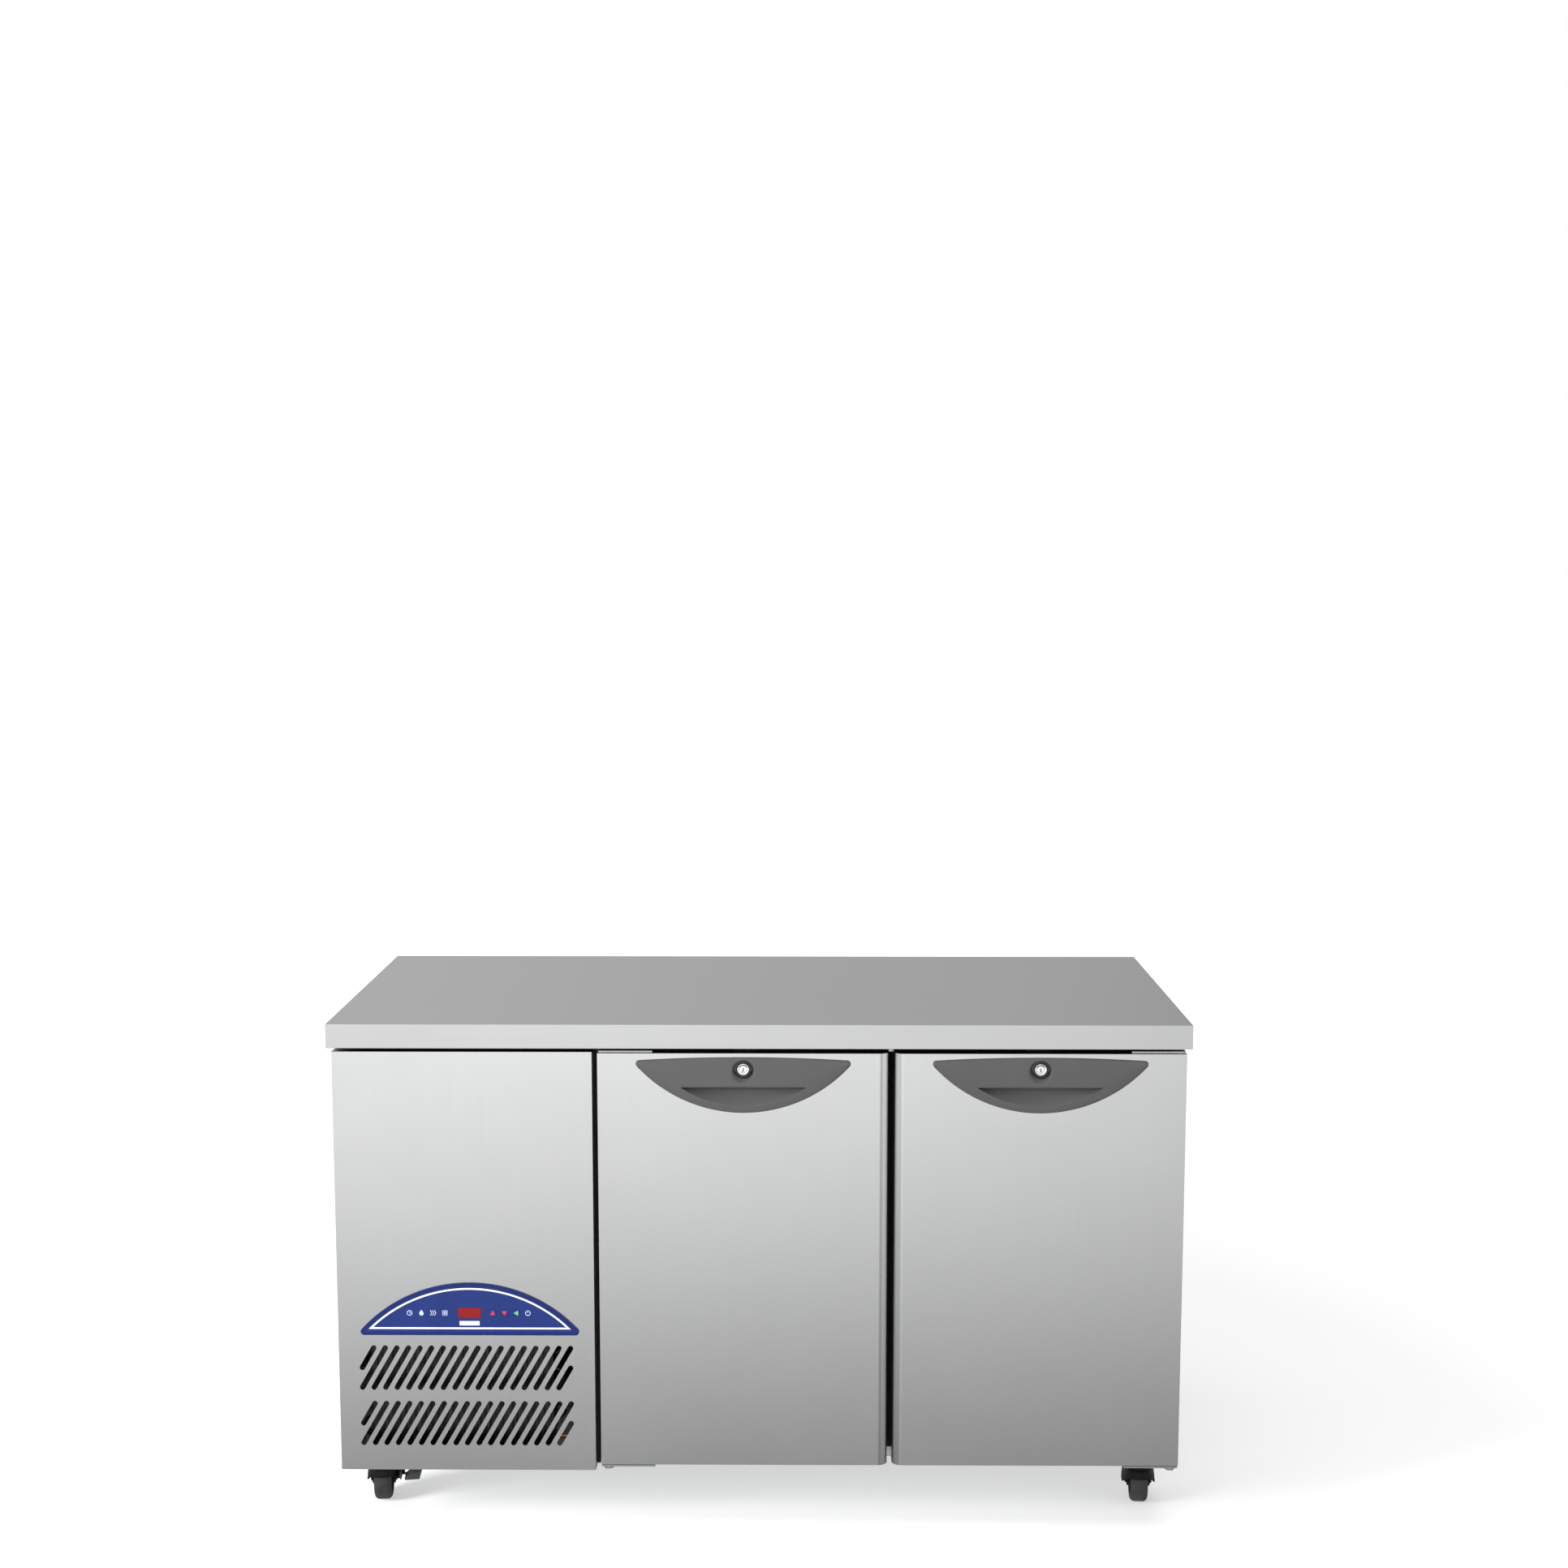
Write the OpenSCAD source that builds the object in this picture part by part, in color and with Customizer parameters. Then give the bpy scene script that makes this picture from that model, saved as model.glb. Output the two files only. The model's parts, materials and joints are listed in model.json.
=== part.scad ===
// Two-door undercounter refrigerator with its cooling unit in the left bay.
// Millimetres. The origin is on the floor at the middle, +Z is up and the front faces -Y.

/* [Overall size] */
// Width of the worktop
worktop_w = 1415; // [1400:5:1450]
// Depth of the worktop
worktop_d = 665; // [660:5:700]
// Height of the worktop above the floor
overall_h = 865; // [855:5:885]
// Height of the worktop's folded edge
worktop_t = 40; // [34:1:44]

/* [Cabinet] */
// Height of the cabinet's underside above the floor
base_z = 108; // [108:1:116]
// Overhang of the worktop past each side panel
side_overhang = 8.5; // [6:0.5:12]
// Dark gap between the cabinet and the worktop's edge
shadow_gap = 7; // [6.5:0.5:8]
// Thickness of the insulated side walls, and width and depth of the centre post
wall_t = 60; // [56:1:62]
// Thickness of the insulated floor, ceiling and back
floor_t = 50; // [46:1:54]
// Thickness of the sheet-metal skins
sheet = 1; // [0.8:0.1:1.2]

/* [Doors] */
// Width of the unit bay's front panel
unit_w = 426; // [420:1:432]
// Gap between the unit panel and the first door
unit_gap = 9; // [8:0.5:11]
// Gap between the two doors
door_gap = 8; // [6:0.5:10]
// Thickness of a door's body
door_t = 50; // [48:1:54]
// Radius of the rolled free edge of a door
roll_r = 16; // [12:1:18]
// Space between a closed door and the cabinet, filled by the gasket
gasket_t = 10; // [9:0.5:12]
// Distance of each hinge pin from the door's front and side
pin_inset = 12; // [11:0.5:13]
// Radius of each hinge pin
pin_r = 4; // [3.5:0.5:4.5]

/* [Handles and locks] */
// Radius of the handle's lower arc
handle_arc_r = 234; // [230:1:238]
// Height of the handle at its middle
handle_h = 93; // [90:1:96]
// Radius of the handle's slightly crowned upper edge
handle_bow_r = 2892; // [2600:10:3200]
// Distance from the door's top to the handle's top
handle_drop = 6; // [5:0.5:8]
// How far the handle and control mouldings stand proud
moulding_proud = 3; // [2:0.5:3]
// Height of the finger opening
grip_h = 31; // [28:1:33]
// Half the width of the finger opening
grip_half_w = 103; // [95:1:106]
// Distance from the handle's top to the finger opening
grip_drop = 50; // [49:1:52]
// Distance from the handle's top to the lock's centre
lock_drop = 20; // [20:0.5:21]
// Radius of the lock barrel
lock_r = 10; // [9:0.5:10]

/* [Control panel] */
// Distance from the panel's left edge to the control panel's middle
control_x = 219; // [212:1:222]
// Height of the control panel's lower edge above the floor
control_z = 340; // [336:1:360]
// Height of the control panel
control_h = 89.6; // [85:0.1:92]
// Radius of the control panel's arc
control_arc_r = 243; // [238:1:248]
// Width of the dark border round the membrane
control_border = 6; // [6:0.5:9]
// Distance between neighbouring keys
key_pitch = 19.5; // [19:0.1:20]
// Radius of each key cap
key_r = 6.5; // [5:0.5:7]
// How far a key travels
key_travel = 0.6; // [0.4:0.1:0.8]

/* [Vents] */
// Number of full-length slots in each row
slot_count = 17; // [15:1:17]
// Distance between neighbouring slots
slot_pitch = 19.27; // [18:0.01:19.5]
// Width of each slot
slot_w = 9; // [7:0.5:10]
// Lean of each slot from the vertical
slot_lean = 30; // [20:1:32]

/* [Castors] */
// Radius of each wheel
wheel_r = 37.5; // [35:0.5:37.5]
// Width of each wheel
wheel_w = 30; // [28:1:32]
// Distance from the swivel pin to the axle
trail = 28; // [24:1:30]

/* [Hidden] */

fine = 96;
round_fn = 48;
running_fit = 0.05;
curve_gap = 0.3;
cut = 1;

// cabinet planes
front_y = -worktop_d / 2;
door_front = front_y + 2.5;
door_back = door_front + door_t;
frame_y = door_back + gasket_t;
back_y = worktop_d / 2 - 8;
side_x = worktop_w / 2 - side_overhang;
cabinet_top = overall_h - worktop_t - shadow_gap;
worktop_z = overall_h - worktop_t;
tray_t = 2;
floor_z = base_z + tray_t;
frame_t = 1.5;

// the insulated box
unit_right = -side_x + unit_w;
wall_x = unit_right + 5;
cold_left = wall_x + wall_t;
cold_right = side_x - wall_t;
cold_front = frame_y + frame_t;
cold_back = back_y - sheet - floor_t;
cold_floor = floor_z + floor_t;
cold_top = cabinet_top - floor_t;
liner_t = 0.8;
skin_x = wall_x - 1.2;
port_y = [-130, 130];
port_return_z = [cold_top - 268, cold_top - 188];
port_supply_z = [cold_top - 88, cold_top - 18];

// doors
door_w = (2 * side_x - unit_w - unit_gap - door_gap) / 2;
door_x = unit_right + unit_gap;
door_z0 = base_z + 8;
door_z1 = cabinet_top - 1;
post_x = door_x + door_w + door_gap / 2;
door_mid = door_x + door_w / 2;
handle_z = door_z1 - handle_drop;
handle_end_r = 6;
handle_body_inset = 5;
handle_depth = 23.5;
lock_z = handle_z - lock_drop;
cam_len = 30;
cam_w = 14;
cam_y = [handle_depth + 0.5, handle_depth + 3.5];
gasket_w = 14;
gasket_inset = 9;
hinge_gasket_inset = 14;
boss = 24;
boss_h = 18;
inner_inset = 6;
inner_t = 1.2;
plateau = 6;
plateau_inset = hinge_gasket_inset + gasket_w + 8;

// unit bay
panel_z0 = base_z - 2;
panel_z1 = cabinet_top + 1;
panel_return = 22;
bay_front = door_front + panel_return + 2;
panel_mid = -side_x + control_x;
bezel_inset_w = 236;
bezel_inset_h = 40;
bezel_depth = 18;
bezel_wall = 2;
membrane_t = 0.6;
control_end_r = 6;
icon_z = control_z + 38.4;
key_x0 = panel_mid + 38.6;
display_w = 38;
display_h = 18;
slot_rows = [control_z - 91, control_z - 187];
slot_h = 68;
slot_x0 = panel_mid - 180.8;

// condensing unit
coil_x = [-670, -330];
coil_y = [-290, -250];
coil_z = [base_z + 24, base_z + 254];
fan_x = (coil_x[0] + coil_x[1]) / 2;
fan_z = (coil_z[0] + coil_z[1]) / 2;
shroud_back = coil_y[1] + 50;
fan_r = 95;
fan_ring_r = 101;
comp_x = -560;
comp_y = 50;
comp_r = 78;
comp_z = floor_z + 22;
comp_h = 175;
ebox_lo = [-420, 150, floor_z + 20];
ebox_hi = [-300, 290, floor_z + 170];
gland_x = -360;
gland_z = floor_z + 90;
gland_bore_r = 4.5;
gland_y = [back_y - 24, worktop_d / 2 - 0.5];

// evaporator unit
evap_lo = [-640, -190, port_return_z[0] - 45];
evap_hi = [skin_x, 190, cabinet_top - 5];
evap_wall = 25;
evap_coil_z = [port_return_z[1] + 12, port_supply_z[0] - 40];
evap_fan_x = -450;
evap_fan_r = 80;

// racking and shelves
rack_post = [15, 20];
rack_y = [-190, 190];
rack_xs = [cold_left + liner_t, post_x - rack_post[0], post_x, cold_right - liner_t - rack_post[0]];
shelf_w = 325;
shelf_d = 530;
shelf_z = cold_floor + 300;
wire_r = 1.6;
rim_r = 3.5;
bay_left = [rack_xs[0] + rack_post[0], rack_xs[1]];
bay_right = [rack_xs[2] + rack_post[0], rack_xs[3]];
slide_t = 1.5;
slide_h = 20;
slide_lap = 12;
slide_gap = 0.2;
slide_over = 15;

// castors: front left, front right, rear left, rear right
castor_x = side_x - 47;
castor_front_y = front_y + 110;
castor_rear_y = back_y - 90;
castor_pins = [
    [-castor_x, castor_front_y], [castor_x, castor_front_y],
    [-castor_x, castor_rear_y], [castor_x, castor_rear_y]
];
castor_turns = [5, -4, 20, 165];
plate_t = 4;
plate_w = 92;
plate_d = 70;
king_r = 8;
axle_r = 5;
hood_r = wheel_r + 6;
hood_w = 58;
hood_t = 3;
head_r = 23;
head_top = base_z - plate_t - 2;
skirt_z = 44;
lever_pin_y = trail - 10;
lever_pin_z = 52;
lever_pin_r = 3;

// screw and bolt places
screw_inset = 14;
grille_screws = [
    for (x = [-side_x + screw_inset, wall_x - screw_inset],
        z = [floor_z + screw_inset, (floor_z + cabinet_top) / 2, cabinet_top - screw_inset]) [x, z]
];
bolt_inset = 10;
plate_bolts = [
    for (x = [-1, 1], y = [-1, 1]) [x * (plate_w / 2 - bolt_inset), y * (plate_d / 2 - bolt_inset)]
];

// ---------- helpers ----------

// A block from its lowest to its highest corner
module block(lo, hi) {
    translate(lo) cube([hi[0] - lo[0], hi[1] - lo[1], hi[2] - lo[2]]);
}

// A plan drawn in X and Z, given depth along Y
module along_y(y0, y1) {
    translate([0, y1, 0]) rotate([90, 0, 0]) linear_extrude(y1 - y0) children();
}

// A rod along Y
module rod_y(x, z, r, y0, y1, fn = round_fn) {
    translate([x, y0, z]) rotate([-90, 0, 0]) cylinder(r = r, h = y1 - y0, $fn = fn);
}

// A rod along X
module rod_x(y, z, r, x0, x1, fn = round_fn) {
    translate([x0, y, z]) rotate([0, 90, 0]) cylinder(r = r, h = x1 - x0, $fn = fn);
}

// Lens with a crowned or flat upper edge at z = 0 and a deep lower arc, its edge moved in by inset
module lens(arc_r, height, bow_r, inset) {
    intersection() {
        translate([0, arc_r - height]) circle(r = arc_r - inset, $fn = 2 * fine);
        if (bow_r > 0) translate([0, -bow_r]) circle(r = bow_r - inset, $fn = 8 * fine);
        else translate([-arc_r, -height - cut]) square([2 * arc_r, height + cut - inset]);
    }
}

// The same lens with rounded ends
module crescent(arc_r, height, bow_r, end_r) {
    arc_z = arc_r - height;
    end_z = bow_r > 0
        ? (pow(bow_r - end_r, 2) - pow(arc_r - end_r, 2) + arc_z * arc_z - bow_r * bow_r)
            / (2 * (arc_z + bow_r))
        : -end_r;
    end_x = sqrt(pow(arc_r - end_r, 2) - pow(end_z - arc_z, 2));
    arc_dir = [end_x, end_z - arc_z] / (arc_r - end_r);
    bow_dir = bow_r > 0 ? [end_x, end_z + bow_r] / (bow_r - end_r) : [0, 1];
    reach = end_r + cut;
    low = [end_x, end_z] + reach * arc_dir;
    high = [end_x, end_z] + reach * bow_dir;
    corner = [end_x + 3 * end_r, end_z + reach];
    intersection() {
        lens(arc_r, height, bow_r, 0);
        polygon([
            [low[0], -height - cut], low, [end_x, end_z], high, [high[0], reach],
            [-high[0], reach], [-high[0], high[1]], [-end_x, end_z],
            [-low[0], low[1]], [-low[0], -height - cut]
        ]);
    }
    for (side = [-1, 1]) intersection() {
        translate([side * end_x, end_z]) circle(r = end_r, $fn = round_fn);
        polygon([
            [side * end_x, end_z], [side * low[0], low[1]], [side * corner[0], low[1]],
            [side * corner[0], corner[1]], [side * high[0], high[1]]
        ]);
    }
}

// Circular cut-off below a flat upper edge at z = 0
module scoop(half_w, height) {
    r = (half_w * half_w + height * height) / (2 * height);
    intersection() {
        translate([0, r - height]) circle(r = r, $fn = 2 * fine);
        translate([-r, -height - cut]) square([2 * r, height + cut]);
    }
}

// Slot with round ends between two points of the X-Z plane
module slot_between(a, b, w) {
    d = b - a;
    translate(a) rotate(atan2(d[1], d[0])) {
        translate([0, -w / 2]) square([norm(d), w]);
        circle(d = w, $fn = 32);
        translate([norm(d), 0]) circle(d = w, $fn = 32);
    }
}

// A bent pipe through a list of corners
module pipe(points, r) {
    for (i = [0:len(points) - 2]) {
        d = points[i + 1] - points[i];
        translate(points[i]) rotate([0, acos(d[2] / norm(d)), atan2(d[1], d[0])])
            cylinder(r = r, h = norm(d), $fn = 24);
    }
    for (i = [1:len(points) - 2]) translate(points[i]) sphere(r = r, $fn = 24);
}

// Fan rotor about the Z axis with its hub's middle at the origin
module rotor(hub_r, tip_r, count, hub_h, bore_r) {
    sweep = 44;
    pitch = 24;
    difference() {
        union() {
            translate([0, 0, -hub_h / 2]) cylinder(r = hub_r, h = hub_h, $fn = round_fn);
            for (i = [0:count - 1]) rotate([0, 0, i * 360 / count]) rotate([pitch, 0, 0])
                translate([0, 0, -0.8]) linear_extrude(1.6) intersection() {
                    difference() {
                        circle(r = tip_r, $fn = fine);
                        circle(r = hub_r - 4, $fn = fine);
                    }
                    polygon([
                        [0, 0], tip_r * 1.3 * [cos(sweep / 2), -sin(sweep / 2)],
                        tip_r * 1.3 * [cos(sweep / 2), sin(sweep / 2)]
                    ]);
                }
        }
        translate([0, 0, -hub_h]) cylinder(r = bore_r, h = 2 * hub_h, $fn = round_fn);
    }
}

// Finned block with return bends at both ends
module finned_coil(lo, hi, pitch, rows) {
    fin_t = 1.2;
    proud = 4;
    tube_r = 4.5;
    block([lo[0], lo[1] + proud, lo[2]], [hi[0], hi[1] - proud, hi[2]]);
    for (x = [lo[0]:pitch:hi[0] - fin_t])
        block([x, lo[1], lo[2]], [x + fin_t, hi[1], hi[2]]);
    mid_y = (lo[1] + hi[1]) / 2;
    step = (hi[2] - lo[2]) / rows;
    for (i = [1:rows - 1]) {
        left = i % 2 == 1;
        translate([left ? lo[0] : hi[0], mid_y, lo[2] + step * i]) rotate([0, 0, left ? 180 : 0])
            rotate([90, 0, 0]) rotate([0, 0, -90]) rotate_extrude(angle = 180, $fn = round_fn)
                translate([step / 2, 0]) circle(r = tube_r, $fn = 24);
    }
}

// Puts a door's parts at the left door, or mirrored at the right one
module at_door(side) {
    if (side == "left") children();
    else translate([2 * post_x, 0, 0]) mirror([1, 0, 0]) children();
}

// Puts a castor's parts at castor i, with its pin at the origin and its wheel trailing to +Y
module at_castor(i) {
    translate([castor_pins[i][0], castor_pins[i][1], 0]) rotate([0, 0, castor_turns[i]])
        children();
}

// ---------- cabinet ----------

module worktop() {
    t = 1.2;
    lip = 10;
    color("silver") difference() {
        block([-worktop_w / 2, front_y, worktop_z], [worktop_w / 2, -front_y, overall_h]);
        block([-worktop_w / 2 + t, front_y + t, worktop_z + t],
            [worktop_w / 2 - t, -front_y - t, overall_h - t]);
        block([-worktop_w / 2 + lip, front_y + lip, worktop_z - cut],
            [worktop_w / 2 - lip, -front_y - lip, worktop_z + t + cut]);
    }
}

module worktop_core() {
    t = 1.2;
    plinth_inset = 20;
    plinth_front = frame_y + 55;
    color("burlywood") {
        block([-worktop_w / 2 + t, front_y + t, worktop_z + t],
            [worktop_w / 2 - t, -front_y - t, overall_h - t]);
        block([-side_x + plinth_inset, plinth_front, cabinet_top],
            [side_x - plinth_inset, back_y - plinth_inset, worktop_z + t]);
    }
}

module left_side_panel() {
    flange = 14;
    color("silver") {
        block([-side_x, bay_front, floor_z], [-side_x + sheet, back_y - sheet, cabinet_top]);
        block([-side_x, bay_front, floor_z], [-side_x + flange, bay_front + sheet, cabinet_top]);
    }
}

module right_side_panel() {
    color("silver")
        block([side_x - sheet, frame_y, floor_z], [side_x, back_y - sheet, cabinet_top]);
}

module back_panel() {
    color("silver")
        block([wall_x, back_y - sheet, floor_z], [side_x, back_y, cabinet_top]);
}

module rear_grille() {
    rows = 20;
    row_pitch = 14;
    first_z = floor_z + 40;
    columns = 3;
    column_w = 100;
    bar = 24;
    width = wall_x + side_x;
    start_x = -side_x + (width - columns * column_w - (columns - 1) * bar) / 2;
    color("silver") difference() {
        block([-side_x, back_y - sheet, floor_z], [wall_x, back_y, cabinet_top]);
        for (c = [0:columns - 1], r = [0:rows - 1]) {
            x = start_x + c * (column_w + bar);
            z = first_z + 130 + r * row_pitch;
            along_y(back_y - 2 * sheet, back_y + sheet)
                slot_between([x + 3, z], [x + column_w - 3, z], 6);
        }
        rod_y(gland_x, gland_z, 10.3, back_y - 2 * sheet, back_y + sheet);
        for (p = grille_screws) rod_y(p[0], p[1], 2.1, back_y - 2 * sheet, back_y + sheet, 24);
    }
}

module base_tray() {
    color("gainsboro") difference() {
        block([-side_x, bay_front, base_z], [side_x, back_y, floor_z]);
        block([wall_x, door_front, base_z - cut], [side_x + cut, frame_y, floor_z + cut]);
    }
}

module cabinet_insulation() {
    color("khaki") difference() {
        block([wall_x, cold_front, floor_z], [side_x - sheet, back_y - sheet, cabinet_top]);
        block([cold_left, cold_front - cut, cold_floor], [cold_right, cold_back, cold_top]);
        for (z = [port_return_z, port_supply_z])
            block([wall_x - cut, port_y[0], z[0]], [cold_left + cut, port_y[1], z[1]]);
    }
}

module cabinet_liner() {
    t = liner_t;
    color("lightgrey") difference() {
        block([cold_left, cold_front, cold_floor], [cold_right, cold_back, cold_top]);
        block([cold_left + t, cold_front - cut, cold_floor + t],
            [cold_right - t, cold_back - t, cold_top - t]);
        for (z = [port_return_z, port_supply_z])
            block([cold_left - cut, port_y[0], z[0]], [cold_left + cut, port_y[1], z[1]]);
    }
}

// Face frame round the door openings, the unit bay's dividing sheet and the strip along its edge.
// The sheet stands back from the air ports, which are lined by the foam
module front_frame() {
    flange = 14;
    seam = 0.2;
    strip_t = 1.2;
    port_rim = 12;
    post = wall_t / 2;
    color("silver") difference() {
        union() {
            block([wall_x + seam, frame_y, floor_z], [side_x - sheet, cold_front, cabinet_top]);
            block([skin_x, bay_front + strip_t + seam, floor_z], [wall_x, back_y - sheet, cabinet_top]);
            block([skin_x - flange, bay_front, floor_z], [wall_x, bay_front + strip_t, cabinet_top]);
        }
        block([cold_left, frame_y - cut, cold_floor], [post_x - post, cold_front + cut, cold_top]);
        block([post_x + post, frame_y - cut, cold_floor], [cold_right, cold_front + cut, cold_top]);
        for (z = [port_return_z, port_supply_z])
            block([skin_x - cut, port_y[0] - port_rim, z[0] - port_rim],
                [wall_x + cut, port_y[1] + port_rim, z[1] + port_rim]);
    }
}

module centre_post() {
    t = 1.5;
    post = wall_t / 2;
    z0 = cold_floor + liner_t;
    z1 = cold_top - liner_t;
    color("silver") difference() {
        block([post_x - post, cold_front, z0], [post_x + post, cold_front + wall_t, z1]);
        block([post_x - post + t, cold_front + t, z0 + t],
            [post_x + post - t, cold_front + wall_t - t, z1 - t]);
    }
}

// ---------- cold chamber ----------

// Slotted sheet over the ports, standing off the chamber wall on four strips
module air_panel() {
    depth = 13;
    gap = 0.2;
    strip_t = 1.2;
    lo = [cold_left + liner_t, -160, port_return_z[0] - 12];
    hi = [cold_left + liner_t + depth, 160, cold_top - 6];
    face = hi[0] - strip_t;
    slots = 12;
    slot_step = 22;
    slot_w = 10;
    slot_trim = 8;
    slot_y = -(slot_step * (slots - 1) + slot_w) / 2;
    color("silver") {
        difference() {
            block([face, lo[1], lo[2]], hi);
            for (z = [port_return_z, port_supply_z], i = [0:slots - 1])
                translate([0, slot_y + i * slot_step, 0])
                    block([face - cut, 0, z[0] + slot_trim], [hi[0] + cut, slot_w, z[1] - slot_trim]);
        }
        for (y = [lo[1], hi[1] - strip_t]) block([lo[0], y, lo[2]], [face - gap, y + strip_t, hi[2]]);
        for (z = [lo[2], hi[2] - strip_t])
            block([lo[0], lo[1] + strip_t + gap, z], [face - gap, hi[1] - strip_t - gap, z + strip_t]);
    }
}

module rack_upright(x, y) {
    z0 = cold_floor + liner_t;
    z1 = cold_top - liner_t - 10;
    pitch = 40;
    difference() {
        block([x, y, z0], [x + rack_post[0], y + rack_post[1], z1]);
        for (z = [z0 + 30:pitch:z1 - 30])
            block([x - cut, y + 7, z], [x + rack_post[0] + cut, y + 13, z + 12]);
    }
}

// L-shaped slide under one edge of a shelf; dir is +1 where the shelf lies to its right
module shelf_slide(x, dir) {
    reach = dir * ((bay_left[1] - bay_left[0] - shelf_w) / 2 + slide_lap);
    z = shelf_z - rim_r - slide_t;
    y0 = rack_y[0] - slide_over;
    y1 = rack_y[1] + rack_post[1] + slide_over;
    block([min(x, x + reach), y0, z], [max(x, x + reach), y1, z + slide_t]);
    block([min(x, x + dir * slide_t), y0, z], [max(x, x + dir * slide_t), y1, z + slide_h]);
}

module racking() {
    color("silver") {
        for (x = rack_xs, y = rack_y) rack_upright(x, y);
        for (bay = [bay_left, bay_right]) {
            shelf_slide(bay[0] + slide_gap, 1);
            shelf_slide(bay[1] - slide_gap, -1);
        }
    }
}

// Wire shelf centred on the origin, its rim's middle at z = 0
module wire_shelf() {
    wires = 13;
    bars = 3;
    w = shelf_w / 2 - rim_r;
    d = shelf_d / 2 - rim_r;
    lift = 1.5;
    color("silver") {
        for (side = [-1, 1]) {
            rod_x(side * d, 0, rim_r, -w, w, 24);
            rod_y(side * w, 0, rim_r, -d, d, 24);
            for (end = [-1, 1]) translate([side * w, end * d, 0]) sphere(r = rim_r, $fn = 24);
        }
        for (i = [1:bars]) rod_x(-d + i * 2 * d / (bars + 1), 0, rim_r - 0.8, -w, w, 24);
        for (i = [1:wires]) rod_y(-w + i * 2 * w / (wires + 1), lift, wire_r, -d, d, 16);
    }
}

module shelf_left() {
    translate([(bay_left[0] + bay_left[1]) / 2, cold_back - liner_t - shelf_d / 2 - 3, shelf_z])
        wire_shelf();
}

module shelf_right() {
    translate([(bay_right[0] + bay_right[1]) / 2, cold_back - liner_t - shelf_d / 2 - 3, shelf_z])
        wire_shelf();
}

// ---------- unit bay front ----------

module slot_row(z0) {
    tan_lean = tan(slot_lean);
    x_of = function(i, z) slot_x0 + i * slot_pitch + (z - z0) * tan_lean;
    half = slot_h / 2;
    for (i = [-1:slot_count]) {
        low = i == -1 ? z0 + half : z0;
        high = i == slot_count ? z0 + half : z0 + slot_h;
        slot_between([x_of(i, low), low], [x_of(i, high), high], slot_w);
    }
}

module unit_panel() {
    lo = [-side_x, door_front, panel_z0];
    hi = [unit_right, door_front + panel_return, panel_z1];
    color("silver") difference() {
        block(lo, hi);
        block([lo[0] + sheet, lo[1] + sheet, lo[2] + sheet], [hi[0] - sheet, hi[1] + cut, hi[2] - sheet]);
        along_y(door_front - cut, door_front + 2 * sheet) for (z = slot_rows) slot_row(z);
        block([panel_mid - bezel_inset_w / 2, lo[1] - cut, icon_z - bezel_inset_h / 2],
            [panel_mid + bezel_inset_w / 2, lo[1] + 2 * sheet, icon_z + bezel_inset_h / 2]);
    }
}

// Crescent of the control panel, flat edge down
module control_outline() {
    translate([panel_mid, control_z]) mirror([0, 1]) crescent(control_arc_r, control_h, 0, control_end_r);
}

// The recess in it that takes the membrane, drawn inset by d
module membrane_outline(d) {
    translate([panel_mid, control_z]) mirror([0, 1]) lens(control_arc_r, control_h, 0, d);
}

module key_holes(r) {
    for (i = [0:3]) translate([key_x0 + i * key_pitch, icon_z]) circle(r = r, $fn = round_fn);
}

module display_hole(gap) {
    translate([panel_mid - display_w / 2 - gap, icon_z - display_h / 2 - gap])
        square([display_w + 2 * gap, display_h + 2 * gap]);
}

module control_bezel() {
    face = door_front - moulding_proud + 0.5;
    pad = 0.5;
    w = bezel_inset_w / 2 - pad;
    h = bezel_inset_h / 2 - pad;
    color("darkblue") difference() {
        union() {
            along_y(face, door_front) control_outline();
            block([panel_mid - w, door_front - cut, icon_z - h],
                [panel_mid + w, door_front + bezel_depth, icon_z + h]);
        }
        along_y(face - cut, face + membrane_t) membrane_outline(control_border);
        block([panel_mid - w + bezel_wall, door_front, icon_z - h + bezel_wall],
            [panel_mid + w - bezel_wall, door_front + bezel_depth - bezel_wall, icon_z + h - bezel_wall]);
        along_y(face - cut, door_front + cut) key_holes(key_r + curve_gap);
        along_y(face - cut, door_front + cut) display_hole(0);
    }
}

module control_membrane() {
    face = door_front - moulding_proud + 0.5;
    color("royalblue") along_y(face, face + membrane_t) difference() {
        membrane_outline(control_border + 0.05);
        key_holes(key_r + curve_gap);
        display_hole(0.1);
    }
}

module display_window() {
    face = door_front - moulding_proud + 0.5;
    color("crimson") along_y(face - 0.2, door_front - 0.2) display_hole(-0.05);
}

module key_cap(i) {
    face = door_front - moulding_proud + 0.5;
    color("lightblue") rod_y(key_x0 + i * key_pitch, icon_z, key_r, face - 0.4, door_front + 6);
}

module key_up() { key_cap(0); }
module key_down() { key_cap(1); }
module key_defrost() { key_cap(2); }
module key_standby() { key_cap(3); }

// ---------- condensing unit ----------

module condenser_coil() {
    color("darkgoldenrod") {
        finned_coil([coil_x[0] + 16, coil_y[0], coil_z[0]], [coil_x[1] - 16, coil_y[1], coil_z[1]], 9, 8);
        for (x = [coil_x[0] + 30, coil_x[1] - 60])
            block([x, coil_y[0] + 8, floor_z], [x + 30, coil_y[1] - 8, coil_z[0] + cut]);
    }
}

// Deep tray that leads the air from the coil to the fan
module fan_shroud() {
    t = 1.5;
    lo = [coil_x[0] + 20, coil_y[1], coil_z[0] + 4];
    hi = [coil_x[1] - 20, shroud_back, coil_z[1] - 4];
    color("dimgrey") difference() {
        block(lo, hi);
        block([lo[0] + t, lo[1] - cut, lo[2] + t], [hi[0] - t, hi[1] - t, hi[2] - t]);
        rod_y(fan_x, fan_z, fan_ring_r, hi[1] - 2 * t, hi[1] + t, fine);
    }
}

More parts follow.
